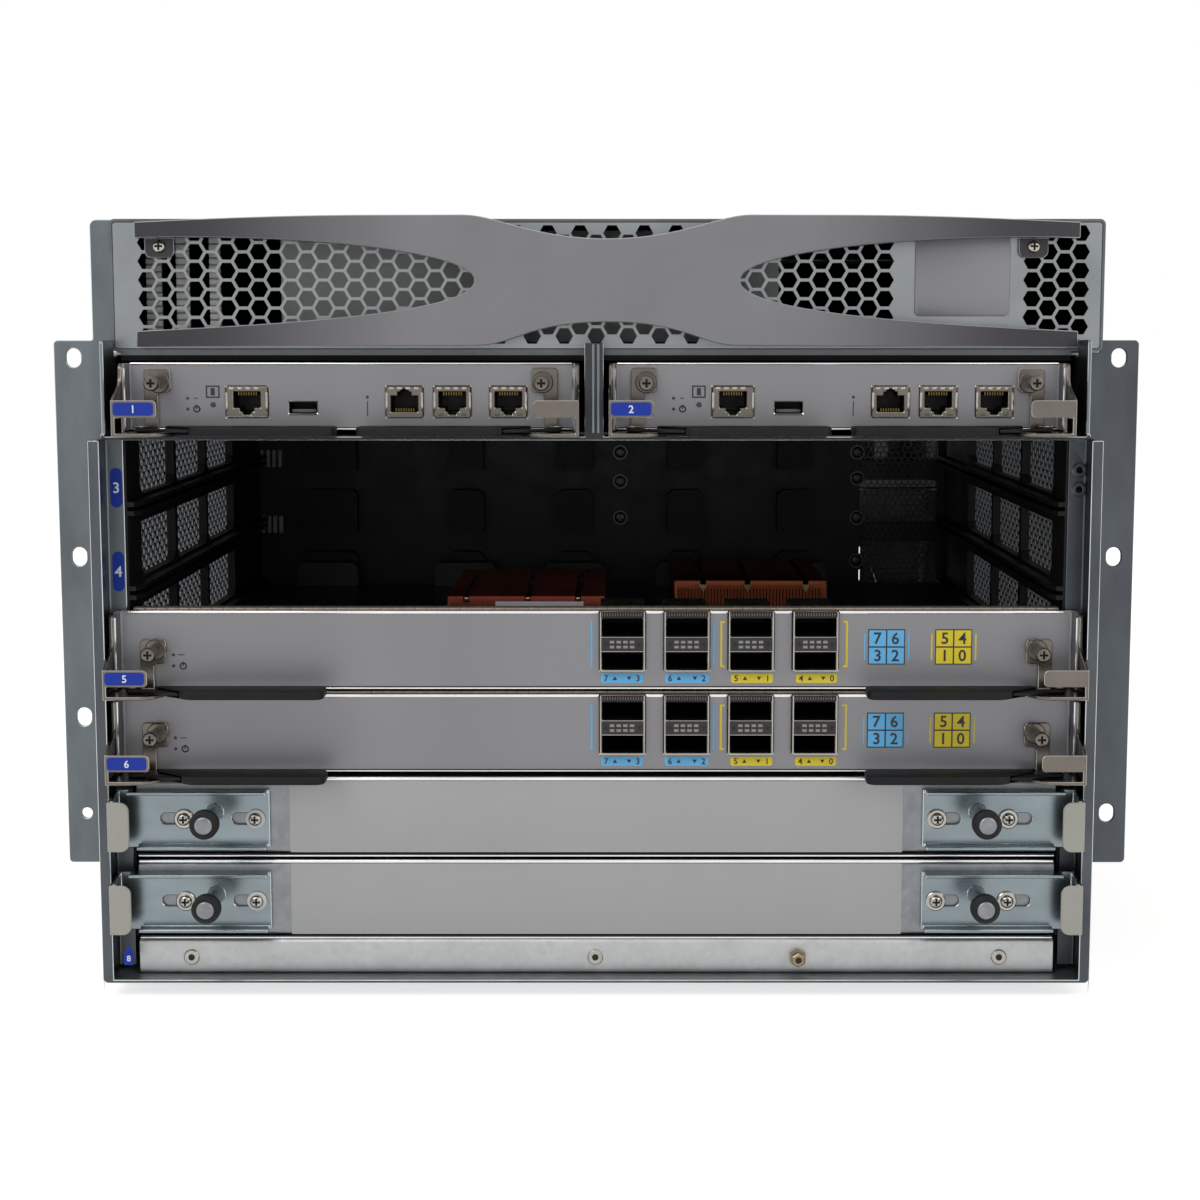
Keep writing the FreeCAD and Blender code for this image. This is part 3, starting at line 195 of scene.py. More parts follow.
def start_material(name: str) -> tuple[bpy.types.Material, bpy.types.Node, Socket]:
    """Start a material made of nodes.

    Args:
        name: The material's name.

    Returns:
        The material, its surface shader and the socket of the object coordinates.
    """
    material = bpy.data.materials.new(name)
    material.use_nodes = True
    tree = material.node_tree
    return (material, tree.nodes["Principled BSDF"],
            add_node(tree, "ShaderNodeTexCoord").outputs["Object"])


def add_grain(tree: bpy.types.NodeTree, shader: bpy.types.Node, height: Socket,
              depth_mm: float) -> None:
    """Raise a surface by its grain.

    Args:
        tree: The material's node tree.
        shader: Its surface shader.
        height: Socket of the grain's height.
        depth_mm: Depth of the grain.
    """
    bump = add_node(tree, "ShaderNodeBump", None,
                    {"Height": height, "Strength": BUMP_STRENGTH, "Distance": depth_mm * MM})
    tree.links.new(bump.outputs[0], shader.inputs["Normal"])


@dataclass(frozen=True)
class Zone:
    """A box of a piece, in millimetres, that wears a second finish."""

    low: Point
    high: Point

    def mask(self, tree: bpy.types.NodeTree, place: Socket) -> Socket:
        """Build a mask that is 1 inside the box and 0 outside it.

        Args:
            tree: The material's node tree.
            place: Object coordinates, in metres.

        Returns:
            The mask's output socket.
        """
        centre = [(a + b) / 2 * MM for a, b in zip(self.low, self.high)]
        half = [(b - a) / 2 * MM for a, b in zip(self.low, self.high)]
        moved = add_node(tree, "ShaderNodeVectorMath", {"operation": "SUBTRACT"},
                         {0: place, 1: centre})
        size = add_node(tree, "ShaderNodeVectorMath", {"operation": "ABSOLUTE"},
                        {0: moved.outputs[0]})
        over = add_node(tree, "ShaderNodeVectorMath", {"operation": "SUBTRACT"},
                        {0: size.outputs[0], 1: half})
        split = add_node(tree, "ShaderNodeSeparateXYZ", None, {0: over.outputs[0]})
        widest = reckon(tree, "MAXIMUM", split.outputs[0], split.outputs[1])
        widest = reckon(tree, "MAXIMUM", widest, split.outputs[2])
        return reckon(tree, "LESS_THAN", widest, 0.0)


@dataclass(frozen=True)
class Finish:
    """A surface: what it is made of, and how it was made."""

    name: str
    colour: str
    rough: float
    metallic: float = 0.0
    ior: float = 1.5
    coat: float = 0.0
    cloud_mm: float = 40.0
    cloud: float = 0.06
    grain_mm: float = 0.6
    grain_depth_mm: float = 0.01
    stretch: Point = (1.0, 1.0, 1.0)
    spangle_mm: float = 0.0
    spangle: float = 0.0
    # Painted shade: a second colour the surface darkens to, and where along X it starts, ends and
    # is centred.
    fade_to: str = ""
    fade_from_mm: float = 0.0
    fade_end_mm: float = 1.0
    fade_middle_mm: float = 0.0

    def shade(self, amount: float) -> tuple[float, float, float, float]:
        """The colour made lighter or darker by a share of itself."""
        red, green, blue, alpha = linear(self.colour)
        return (min(red * (1 + amount), 1.0), min(green * (1 + amount), 1.0),
                min(blue * (1 + amount), 1.0), alpha)

    def layers(self, tree: bpy.types.NodeTree, place: Socket) -> tuple[Socket, Socket, Socket]:
        """Build the colour, the roughness and the height of the surface.

        Args:
            tree: The material's node tree.
            place: Object coordinates, in metres.

        Returns:
            Sockets of the colour, the roughness and the height.
        """
        stretched = add_node(tree, "ShaderNodeMapping", None,
                             {"Vector": place, "Scale": self.stretch}).outputs[0]
        cloud = add_node(tree, "ShaderNodeTexNoise", None,
                         {"Vector": stretched, "Scale": 1 / (self.cloud_mm * MM), "Detail": 3.0,
                          "Roughness": 0.55}).outputs["Fac"]
        grain = add_node(tree, "ShaderNodeTexNoise", None,
                         {"Vector": stretched, "Scale": 1 / (self.grain_mm * MM), "Detail": 2.0,
                          "Roughness": 0.6}).outputs["Fac"]
        blend = add_node(tree, "ShaderNodeMapRange", None,
                         {"Value": cloud, "From Min": CLOUD_LOW,
                          "From Max": CLOUD_HIGH}).outputs[0]
        tone = mix_colours(tree, blend, self.shade(-self.cloud), self.shade(self.cloud))
        if self.spangle:
            flakes = add_node(tree, "ShaderNodeTexVoronoi", None,
                              {"Vector": place, "Scale": 1 / (self.spangle_mm * MM)})
            value = add_node(tree, "ShaderNodeSeparateXYZ", None,
                             {0: flakes.outputs["Color"]}).outputs[0]
            grey = add_node(tree, "ShaderNodeCombineColor", None,
                            {0: value, 1: value, 2: value}).outputs[0]
            tone = mix_colours(tree, self.spangle, tone, grey, "MULTIPLY")
        # Painted shade: blend into the second colour with distance along X from the middle.
        if self.fade_to:
            along = add_node(tree, "ShaderNodeSeparateXYZ", None, {0: place}).outputs[0]
            far = reckon(tree, "ABSOLUTE",
                         reckon(tree, "SUBTRACT", along, self.fade_middle_mm * MM))
            share = add_node(tree, "ShaderNodeMapRange", {"interpolation_type": "SMOOTHSTEP"},
                             {"Value": far, "From Min": self.fade_from_mm * MM,
                              "From Max": self.fade_end_mm * MM}).outputs[0]
            tone = mix_colours(tree, share, tone, linear(self.fade_to))
        spread = ROUGH_SHARE * self.rough
        rough = add_node(tree, "ShaderNodeMapRange", None,
                         {"Value": cloud, "From Min": CLOUD_LOW, "From Max": CLOUD_HIGH,
                          "To Min": self.rough - spread, "To Max": self.rough + spread}).outputs[0]
        return tone, rough, grain

    def build(self) -> bpy.types.Material:
        """Make the material, or return the one made before."""
        known = bpy.data.materials.get(self.name)
        if known:
            return known
        material, shader, place = start_material(self.name)
        tree = material.node_tree
        shader.inputs["Metallic"].default_value = self.metallic
        if not self.metallic:
            shader.inputs["IOR"].default_value = self.ior
        shader.inputs["Coat Weight"].default_value = self.coat
        tone, rough, height = self.layers(tree, place)
        tree.links.new(tone, shader.inputs["Base Color"])
        tree.links.new(rough, shader.inputs["Roughness"])
        add_grain(tree, shader, height, self.grain_depth_mm)
        return material


@dataclass(frozen=True)
class ZonedFinish:
    """A finish with a box of a second finish."""

    name: str
    main: Finish
    other: Finish
    zone: Zone

    def build(self) -> bpy.types.Material:
        """Make the material, or return the one made before."""
        known = bpy.data.materials.get(self.name)
        if known:
            return known
        material, shader, place = start_material(self.name)
        tree = material.node_tree
        mask = self.zone.mask(tree, place)
        tone, rough, height = self.main.layers(tree, place)
        other_tone, other_rough, other_height = self.other.layers(tree, place)
        metal = mix(tree, mask, self.main.metallic, self.other.metallic)
        tree.links.new(mix_colours(tree, mask, tone, other_tone), shader.inputs["Base Color"])
        tree.links.new(mix(tree, mask, rough, other_rough), shader.inputs["Roughness"])
        tree.links.new(metal, shader.inputs["Metallic"])
        add_grain(tree, shader, mix(tree, mask, height, other_height), self.main.grain_depth_mm)
        return material


# Zinc plate with a clear blue passivation: cool grey, satin, drawn faintly along the sheet.
ZINC = Finish("zinc_plate_blue_passivated", "#757b7f", 0.36, metallic=1.0, cloud_mm=55.0,
              cloud=0.10, grain_mm=0.9, grain_depth_mm=0.012, stretch=(1.0, 1.0, 0.25))
# The same plate on the thick ears, duller and darker.
ZINC_DARK = Finish("zinc_plate_dull", "#666c70", 0.40, metallic=1.0, cloud_mm=22.0, cloud=0.22,
                   grain_mm=1.2, grain_depth_mm=0.015, stretch=(1.0, 1.0, 0.4))
# Hot-dip galvanised sheet: pale, with a faint spangle of crystals.
GALVANISED = Finish("galvanised_sheet", "#949698", 0.42, metallic=1.0, cloud_mm=30.0, cloud=0.07,
                    grain_mm=1.0, grain_depth_mm=0.012, spangle_mm=3.5, spangle=0.10)
# Smooth galvanised sheet, skin-passed: the plain field of a blanking panel.
SKIN_PASSED = Finish("skin_passed_sheet", "#9a9a9b", 0.40, metallic=0.75, cloud_mm=45.0,
                     cloud=0.03, grain_mm=0.5, grain_depth_mm=0.006)
# Nickel plate on steel pressings: a warm, darkish grey.
NICKEL = Finish("nickel_plate", "#6d6761", 0.27, metallic=1.0, cloud_mm=18.0, cloud=0.12,
                grain_mm=0.7, grain_depth_mm=0.006)
# Bright nickel on screws, and a painted highlight on folded edges.
BRIGHT_NICKEL_AND_HIGHLIGHT = Finish("bright_nickel_and_edge_highlight", "#a8a49d", 0.22, metallic=1.0, cloud_mm=8.0, cloud=0.10,
                       grain_mm=0.5, grain_depth_mm=0.004)
# Grey sheet of the blades' faces, finely grained along its length.
FACE_SHEET = Finish("satin_face_sheet", "#828184", 0.44, metallic=0.8, cloud_mm=90.0, cloud=0.07,
                    grain_mm=0.45, grain_depth_mm=0.008, stretch=(1.0, 1.0, 0.12))
# Silver-grey paint on the bezel, darkened towards the two wings by painted shade.
SILVER_PAINT_WING_SHADE = Finish("silver_grey_paint", "#7b7a7e", 0.40, metallic=0.55, cloud_mm=30.0,
                      cloud=0.04, grain_mm=0.35, grain_depth_mm=0.010, fade_to="#39373b",
                      fade_from_mm=70.0, fade_end_mm=190.0, fade_middle_mm=5.0)
# Black glass-filled nylon: finely textured, dull.
BLACK_NYLON = Finish("black_nylon", "#080708", 0.55, ior=1.33, cloud_mm=12.0, cloud=0.12,
                     grain_mm=0.5, grain_depth_mm=0.03)
# Black polycarbonate card frames, smoother than the nylon.
BLACK_POLYCARBONATE = Finish("black_polycarbonate", "#070708", 0.50, ior=1.38, cloud_mm=20.0,
                             cloud=0.10, grain_mm=0.6, grain_depth_mm=0.015)
# Black thermoplastic of jacks and plugs; on the metal walls inside the cages and the USB socket it
# is painted shade.
PORT_BLACK_AND_POCKET_SHADE = Finish("port_thermoplastic", "#060505", 0.50, ior=1.35, cloud_mm=6.0, cloud=0.15,
                    grain_mm=0.4, grain_depth_mm=0.01)
# Dark solder mask over woven laminate.
SOLDER_MASK = Finish("solder_mask", "#050908", 0.42, ior=1.4, coat=0.1, cloud_mm=9.0, cloud=0.25,
                     grain_mm=1.1, grain_depth_mm=0.012)
# Copper of the right heat sink, dulled.
COPPER = Finish("dull_copper", "#7f4530", 0.42, metallic=1.0, cloud_mm=16.0, cloud=0.15,
                grain_mm=0.8, grain_depth_mm=0.01, stretch=(0.2, 1.0, 1.0))
# Beryllium-copper spring gasket, tinned to a brownish beige.
GASKET = Finish("spring_gasket", "#94877b", 0.40, metallic=0.7, cloud_mm=5.0, cloud=0.12,
                grain_mm=0.6, grain_depth_mm=0.01)
# Cream nylon of the latches' tabs, the light guides and the ribbed strips' beds.
CREAM_NYLON = Finish("cream_nylon", "#a2a199", 0.45, ior=1.53, cloud_mm=14.0, cloud=0.04,
                     grain_mm=0.5, grain_depth_mm=0.01)
# Milky nylon washers.
WASHER_NYLON = Finish("washer_nylon", "#cfcfcb", 0.30, ior=1.53, cloud_mm=4.0, cloud=0.05,
                      grain_mm=0.5, grain_depth_mm=0.008)
# Soft black rubber of the knobs' rings.
RUBBER = Finish("black_rubber", "#09090a", 0.65, ior=1.40, cloud_mm=6.0, cloud=0.12,
                grain_mm=0.5, grain_depth_mm=0.03)
# Screen-printed and self-adhesive labels: flat ink with a little gloss.
BLUE_LABEL = Finish("blue_label_ink", "#10309a", 0.45, ior=1.38, cloud_mm=10.0, cloud=0.05)
LIGHT_BLUE_LABEL = Finish("light_blue_label_ink", "#62b4e8", 0.40, cloud_mm=10.0, cloud=0.03)
YELLOW_LABEL = Finish("yellow_label_ink", "#e0ca22", 0.40, cloud_mm=10.0, cloud=0.03)
WHITE_INK = Finish("white_ink", "#dfe4ef", 0.45, cloud_mm=10.0, cloud=0.02)
BLACK_INK = Finish("black_ink", "#1b1b1d", 0.45, cloud_mm=10.0, cloud=0.05)
GREY_LABEL = Finish("grey_label_film", "#5f6066", 0.40, cloud_mm=20.0, cloud=0.05)
# Unlit lamp lenses and light guides.
GREEN_LENS = Finish("green_lamp_lens", "#4d6a50", 0.25, ior=1.58, cloud_mm=2.0, cloud=0.15)
DARK_LENS = Finish("dark_lamp_lens", "#26262a", 0.25, ior=1.58, cloud_mm=2.0, cloud=0.10)
# Gold flash on contact springs.
GOLD = Finish("gold_flash", "#6f5a35", 0.35, metallic=1.0, cloud_mm=3.0, cloud=0.15)
# Hot-dip tinned steel of module shells at the back.
TINNED = Finish("tinned_shell", "#84878a", 0.36, metallic=1.0, cloud_mm=40.0, cloud=0.08,
                grain_mm=0.9, grain_depth_mm=0.01, stretch=(1.0, 0.3, 1.0))
# The plated ears and rails on the shaded side, and the cage's front faces: zinc darkened by painted
# shade.
ZINC_SHADED = Finish("zinc_plate_shaded", "#51555a", 0.42, metallic=1.0, cloud_mm=22.0, cloud=0.22,
                     grain_mm=1.2, grain_depth_mm=0.015, stretch=(1.0, 1.0, 0.4))
# Folded zinc edges, much lighter as a painted highlight.
ZINC_EDGE_HIGHLIGHT = Finish("zinc_edge_painted_highlight", "#ccd1d4", 0.26, metallic=1.0, cloud_mm=12.0,
                     cloud=0.12, grain_mm=0.6, grain_depth_mm=0.006)
# The latches' zinc plate, glossier and bluer than the cage.
LATCH_ZINC = Finish("zinc_plate_glossy_blue", "#7f898e", 0.26, metallic=1.0, cloud_mm=14.0,
                    cloud=0.14, grain_mm=1.4, grain_depth_mm=0.012, stretch=(0.4, 1.0, 1.0))
# Rolled edges of the faceplates: the same sheet, drawn smooth, and much lighter as a painted
# highlight.
FACE_EDGE_HIGHLIGHT = Finish("face_edge_painted_highlight", "#e2e1e0", 0.24, metallic=0.95, cloud_mm=25.0, cloud=0.08,
                   grain_mm=0.5, grain_depth_mm=0.004)
# The blanking panels beside their middle field: mottled galvanised sheet.
FILLER_SIDE = Finish("mottled_galvanised", "#84878a", 0.38, metallic=0.95, cloud_mm=9.0,
                     cloud=0.16, grain_mm=1.0, grain_depth_mm=0.012, spangle_mm=4.0, spangle=0.10)
# The sill's galvanised sheet, pale and even.
SILL_SHEET = Finish("pale_galvanised", "#b4b5b6", 0.40, metallic=0.9, cloud_mm=22.0, cloud=0.08,
                    grain_mm=1.0, grain_depth_mm=0.012, spangle_mm=3.0, spangle=0.08)
# Plating darkened by painted shade: the lamp strips in the shade of the cages, the grooves, the
# strips above folded feet, and the air mesh.
NICKEL_PAINTED_SHADE = Finish("nickel_painted_shade", "#39373a", 0.40, metallic=0.9, cloud_mm=8.0, cloud=0.12,
                     grain_mm=0.5, grain_depth_mm=0.008)
# Recesses of the screws, where no light reaches.
RECESS_DARK = Finish("shaded_recess", "#2a2829", 0.60, metallic=0.6, cloud_mm=4.0, cloud=0.05)
# Pale plated feet of the levers.
FOOT_NICKEL = Finish("pale_nickel_foot", "#b3ada4", 0.45, metallic=0.2, cloud_mm=14.0, cloud=0.10,
                     grain_mm=0.6, grain_depth_mm=0.006)
# The grille, brighter than the ears, then the hood's sheet and its skirt in the shade.
GRILLE_ZINC = Finish("bright_zinc_grille", "#8b8f91", 0.30, metallic=1.0, cloud_mm=30.0, cloud=0.08,
                     grain_mm=0.8, grain_depth_mm=0.010)
HOOD_ZINC = Finish("hood_zinc_sheet", "#65696c", 0.38, metallic=1.0, cloud_mm=14.0, cloud=0.13,
                   grain_mm=1.2, grain_depth_mm=0.012, spangle_mm=2.5, spangle=0.08)
SHADOW_ZINC = Finish("zinc_in_shade", "#17181a", 0.55, metallic=0.8, cloud_mm=30.0, cloud=0.10)
# The painted post between the control blades.
DIVIDER_DARK = Finish("dark_grey_paint", "#2e2d31", 0.45, ior=1.42, cloud_mm=20.0, cloud=0.08,
                      grain_mm=0.5, grain_depth_mm=0.012)
# The bezel's edges, where the paint catches the light.
BEZEL_EDGE = Finish("silver_grey_paint_edge", "#a9a8ab", 0.32, metallic=0.6, cloud_mm=30.0,
                    cloud=0.04, grain_mm=0.35, grain_depth_mm=0.008)
# The flat service panel beside the grille.
PANEL_SHEET = Finish("flat_service_panel", "#7f7e83", 0.42, metallic=0.7, cloud_mm=40.0,
                     cloud=0.05, grain_mm=0.5, grain_depth_mm=0.008)
# A black sheet of painted shade deep in the hood, and the paler plate before it.
PAINTED_SHADE_SHEET = Finish("painted_shade_sheet", "#060607", 0.70, ior=1.35, cloud_mm=30.0, cloud=0.10)
INNER_PLATE = Finish("grey_green_inner_plate", "#989d99", 0.45, metallic=0.6, cloud_mm=25.0,
                     cloud=0.14)
# Copper worn bright on the springs.
COPPER_BRIGHT = Finish("bright_copper_spring", "#c9977a", 0.26, metallic=1.0, cloud_mm=8.0,
                       cloud=0.12, grain_mm=0.6, grain_depth_mm=0.006)
# Copper of the left heat sink, browned.
COPPER_BROWN = Finish("browned_copper", "#8a4436", 0.50, metallic=0.9, cloud_mm=16.0, cloud=0.18,
                      grain_mm=0.8, grain_depth_mm=0.01, stretch=(1.0, 0.2, 1.0))
# Screws of the midplane, darkened as painted shade deep in the bay.
STEEL_PAINTED_SHADE = Finish("steel_painted_shade", "#4a4846", 0.40, metallic=1.0, cloud_mm=5.0, cloud=0.12)
# White ribbed strips behind the grille.
RIB_WHITE = Finish("pale_ribbed_moulding", "#f0f0ec", 0.50, cloud_mm=8.0, cloud=0.06)
# The perforated sides, dull, and darkened by painted shade.
SIDE_SHEET_PAINTED_SHADE = Finish("perforated_galvanised", "#55575a", 0.48, metallic=0.9, cloud_mm=25.0,
                    cloud=0.10, grain_mm=1.0, grain_depth_mm=0.012)
# Bare carrier behind a blade's face.
PALE_CARRIER = Finish("pale_label_carrier", "#8c8c91", 0.45, cloud_mm=15.0, cloud=0.05)
# Brass clips at the front of the right heat sink.
CLIP_BRASS = Finish("pale_brass_clip", "#b09a6c", 0.32, metallic=1.0, cloud_mm=5.0, cloud=0.10)
# Grey film of the unlit lamps on the port cages.
LAMP_FILM = Finish("pale_lamp_film", "#8b8883", 0.35, cloud_mm=3.0, cloud=0.08)
# Brass post in the sill, dulled.
BRASS = Finish("dull_brass", "#8d8064", 0.32, metallic=1.0, cloud_mm=5.0, cloud=0.12,
               grain_mm=0.5, grain_depth_mm=0.006)
# Dark navy solder mask of the midplane, and its reddish-brown sockets.
NAVY_MASK = Finish("navy_solder_mask", "#04050a", 0.45, ior=1.35, cloud_mm=12.0, cloud=0.25,
                   grain_mm=1.2, grain_depth_mm=0.012)
SOCKET_BROWN = Finish("brown_socket_moulding", "#0f0809", 0.55, ior=1.36, cloud_mm=3.0,
                      cloud=0.30, grain_mm=1.6, grain_depth_mm=0.05)


# ------------------------------------------------------------------ modelling by operators
class Bench:
    """Modelling with Blender's operators, at each piece's own place, in millimetres."""

    @staticmethod
    def clear() -> None:
        """Leave edit mode and select nothing."""
        if bpy.context.object and bpy.context.object.mode != "OBJECT":
            bpy.ops.object.mode_set(mode="OBJECT")
        bpy.ops.object.select_all(action="DESELECT")

    @staticmethod
    def pick(piece: Piece) -> None:
        """Make a piece the only selected and active one."""
        Bench.clear()
        piece.select_set(True)
        bpy.context.view_layer.objects.active = piece

    @staticmethod
    def settle(piece: Piece) -> None:
        """Put a piece's place, turn and scale into its mesh."""
        Bench.pick(piece)
        bpy.ops.object.transform_apply(location=True, rotation=True, scale=True)

    @staticmethod
    def take(name: str, scale: tuple[float, float, float] = (1, 1, 1)) -> Piece:
        """Name the piece just added, and put its place, turn and scale into its mesh."""
        piece = bpy.context.object
        piece.name = name
        piece.scale = scale
        Bench.settle(piece)
        return piece

    @staticmethod
    def modify(piece: Piece, kind: str, **settings: object) -> None:
        """Apply one modifier to a piece.

        Args:
            piece: The piece to change.
            kind: The modifier's type name.
            settings: Attributes to set on the modifier.
        """
        Bench.pick(piece)
        modifier = piece.modifiers.new(kind.lower(), kind)
        for key, value in settings.items():
            setattr(modifier, key, value)
        bpy.ops.object.modifier_apply(modifier=modifier.name)

    @staticmethod
    def enter() -> None:
        """Enter edit mode with everything selected."""
        bpy.ops.object.mode_set(mode="EDIT")
        bpy.ops.mesh.select_all(action="SELECT")

    @staticmethod
    def leave() -> None:
        """Turn every face outwards and leave edit mode."""
        bpy.ops.mesh.select_all(action="SELECT")
        bpy.ops.mesh.normals_make_consistent(inside=False)
        bpy.ops.object.mode_set(mode="OBJECT")

    @staticmethod
    def disc(name: str, place: Vector, radius: float, sides: int, turn: float = 0.0) -> Piece:
        """Make a flat disc that faces the front.

        Args:
            name: The piece's name.
            place: Its middle, in metres.
            radius: Distance from the middle to a corner.
            sides: How many sides it has.
            turn: Degrees it is turned about Y.

        Returns:
            The new piece.
        """
        Bench.clear()
        bpy.ops.mesh.primitive_circle_add(vertices=sides, radius=radius * MM, fill_type="NGON",
                                          location=place,
                                          rotation=(math.pi / 2, math.radians(turn), 0))
        return Bench.take(name)

    @staticmethod
    def bevel(piece: Piece, width: float, steps: int = 2, angle: float = 40.0) -> None:
        """Ease a piece's sharp edges.

        Args:
            piece: The piece to ease.
            width: Width of the bevel.
            steps: Segments across it.
            angle: Edges sharper than this many degrees are eased.
        """
        Bench.modify(piece, "BEVEL", width=width * MM, segments=steps, limit_method="ANGLE",
                     angle_limit=math.radians(angle), harden_normals=False)

    @staticmethod
    def smooth(piece: Piece, angle: float = 35.0) -> None:
        """Shade a piece smooth across its gentle edges."""
        Bench.pick(piece)
        bpy.ops.object.shade_smooth_by_angle(angle=math.radians(angle))

    @staticmethod
    def block(name: str, low: Point, high: Point, ease: float = 0.15, steps: int = 2) -> Piece:
        """Make a block with eased edges between two corners.

        Args:
            name: The piece's name.
            low: Its lowest corner.
            high: Its highest corner.
            ease: Width of the bevel on its edges.
            steps: Segments of the bevel.

        Returns:
            The new piece.
        """
        Bench.clear()
        middle = [(a + b) / 2 * MM for a, b in zip(low, high)]
        bpy.ops.mesh.primitive_cube_add(size=1, location=middle)
        piece = Bench.take(name, [(b - a) * MM for a, b in zip(low, high)])
        if ease:
            Bench.bevel(piece, ease, steps)
            Bench.smooth(piece)
        return piece

    @staticmethod
    def rounded(name: str, low: Point, high: Point, axis: Axis, radius: float,
                ease: float = 0.1) -> Piece:
        """Make a plate whose edges along one axis are rounded.

        Args:
            name: The piece's name.
            low: Its lowest corner.
            high: Its highest corner.
            axis: The direction of the rounded edges.
            radius: Their radius.
            ease: Width of the bevel round the faces.

        Returns:
            The new piece.
        """
        piece = Bench.block(name, low, high, 0.0)
        mesh = piece.data
        for edge in mesh.edges:
            run = mesh.vertices[edge.vertices[1]].co - mesh.vertices[edge.vertices[0]].co
            edge.select = abs(run[axis.value]) > 0.5 * run.length
        Bench.in_edges(piece)
        bpy.ops.mesh.bevel(offset=radius * MM, segments=5, affect="EDGES")
        bpy.ops.object.mode_set(mode="OBJECT")
        if ease:
            Bench.bevel(piece, ease, 2, 60.0)
        Bench.smooth(piece)
        return piece

    @staticmethod
    def in_edges(piece: Piece) -> None:
        """Enter edit mode on the edges that are already selected in a mesh."""
        chosen = [edge.select for edge in piece.data.edges]
        Bench.pick(piece)
        bpy.ops.object.mode_set(mode="EDIT")
        bpy.ops.mesh.select_mode(type="EDGE")
        bpy.ops.mesh.select_all(action="DESELECT")
        bpy.ops.object.mode_set(mode="OBJECT")
        for edge, wanted in zip(piece.data.edges, chosen):
            edge.select = wanted
        bpy.ops.object.mode_set(mode="EDIT")

    @staticmethod
    def turned(name: str, centre: Point, sections: list[tuple[float, float]],
               sides: int = 32) -> Piece:
        """Turn a body about an axis along Y by drawing one ring out step by step.

        Args:
            name: The piece's name.
            centre: Point on the axis at offset 0.
            sections: Radius and offset along Y of each ring, from front to back.
            sides: Sides of a ring.

        Returns:
            The new piece.
        """
        radius, offset = sections[0]
        start = Vector(centre) * MM
        piece = Bench.disc(name, start + Vector((0, offset * MM, 0)), radius, sides)
        Bench.enter()
        for wide, deep in sections[1:]:
            bpy.ops.mesh.extrude_region_move(
                TRANSFORM_OT_translate={"value": (0, (deep - offset) * MM, 0)})
            if wide != radius:
                share = wide / radius
                bpy.ops.transform.resize(value=(share, 1, share),
                                         center_override=start + Vector((0, deep * MM, 0)))
            radius, offset = wide, deep
        Bench.leave()
        Bench.smooth(piece)
        return piece

    @staticmethod
    def rim(name: str, low: Point, high: Point, wall: float, depth: float) -> Piece:
        """Make a rectangular frame that faces the front.

        Args:
            name: The piece's name.
            low: Lowest corner of its front face.
            high: Highest corner of its front face, at the same Y.
            wall: Width of its bars.
            depth: How far it reaches back.

        Returns:
            The new piece.
        """
        Bench.clear()
        middle = [(a + b) / 2 * MM for a, b in zip(low, high)]
        bpy.ops.mesh.primitive_plane_add(size=1, location=middle, rotation=(math.pi / 2, 0, 0))
        piece = Bench.take(name, ((high[0] - low[0]) * MM, (high[2] - low[2]) * MM, 1))
        Bench.enter()
        bpy.ops.mesh.inset(thickness=wall * MM)
        bpy.ops.mesh.delete(type="FACE")
        bpy.ops.mesh.select_all(action="SELECT")
        bpy.ops.mesh.extrude_region_move(TRANSFORM_OT_translate={"value": (0, depth * MM, 0)})
        Bench.leave()
        Bench.bevel(piece, min(0.12, wall / 4), 1)
        return piece

    @staticmethod
    def numeral(name: str, text: str, centre: Point, height: float, depth: float = 0.12) -> Piece:
        """Make plain figures that face the front.

        Args:
            name: The piece's name.
            text: The figures.
            centre: Middle of the print.
            height: Height of a figure.
            depth: Thickness of the print.

        Returns:
            The new piece.
        """
        Bench.clear()
        bpy.ops.object.text_add()
        piece = bpy.context.object
        piece.data.body = text
        piece.data.size = height * MM / FIGURE_SHARE
        piece.data.align_x = "CENTER"
        piece.data.align_y = "CENTER"
        piece.data.extrude = depth / 2 * MM
        piece.data.offset = height * STROKE_SHARE * MM
        piece.data.resolution_u = 3
        bpy.ops.object.convert(target="MESH")
        piece = bpy.context.object
        piece.name = name
        piece.rotation_euler = (math.pi / 2, 0, 0)
        Bench.settle(piece)
        reach = [sum(c) / 2 for c in zip(*Bench.span(piece))]
        piece.location = Vector(centre) * MM - Vector(reach)
        Bench.settle(piece)
        return piece

    @staticmethod
    def span(piece: Piece) -> tuple[Vector, Vector]:
        """Lowest and highest corner of a piece's mesh, in metres."""
        spots = [v.co for v in piece.data.vertices]
        return (Vector([min(s[i] for s in spots) for i in range(3)]),
                Vector([max(s[i] for s in spots) for i in range(3)]))

    @staticmethod
    def prism(name: str, centre: Point, radius: float, sides: int, depth: float,
              turn: float = 0.0) -> Piece:
        """Make a flat-sided prism along Y, such as a pointer or a nut.

        Args:
            name: The piece's name.
            centre: Middle of its front.
            radius: Distance from the middle to a corner.
            sides: How many sides it has.
            depth: How far it reaches back.
            turn: Degrees it is turned about Y.

        Returns:
            The new piece.
        """
        piece = Bench.disc(name, Vector(centre) * MM, radius, sides, turn)
        Bench.enter()
        bpy.ops.mesh.extrude_region_move(TRANSFORM_OT_translate={"value": (0, depth * MM, 0)})
        Bench.leave()
        return piece

    @staticmethod
    def copy(piece: Piece, name: str, offset: Point) -> Piece:
        """Copy a piece, with a mesh of its own, moved by an offset."""
        twin = piece.copy()
        twin.data = piece.data.copy()
        twin.name = name
        bpy.context.scene.collection.objects.link(twin)
        twin.location = Vector(offset) * MM
        Bench.settle(twin)
        return twin

    @staticmethod
    def cut(piece: Piece, cutter: Piece) -> None:
        """Cut one piece out of another and throw the cutter away."""
        Bench.modify(piece, "BOOLEAN", operation="DIFFERENCE", solver="EXACT", object=cutter)
        bpy.data.objects.remove(cutter)

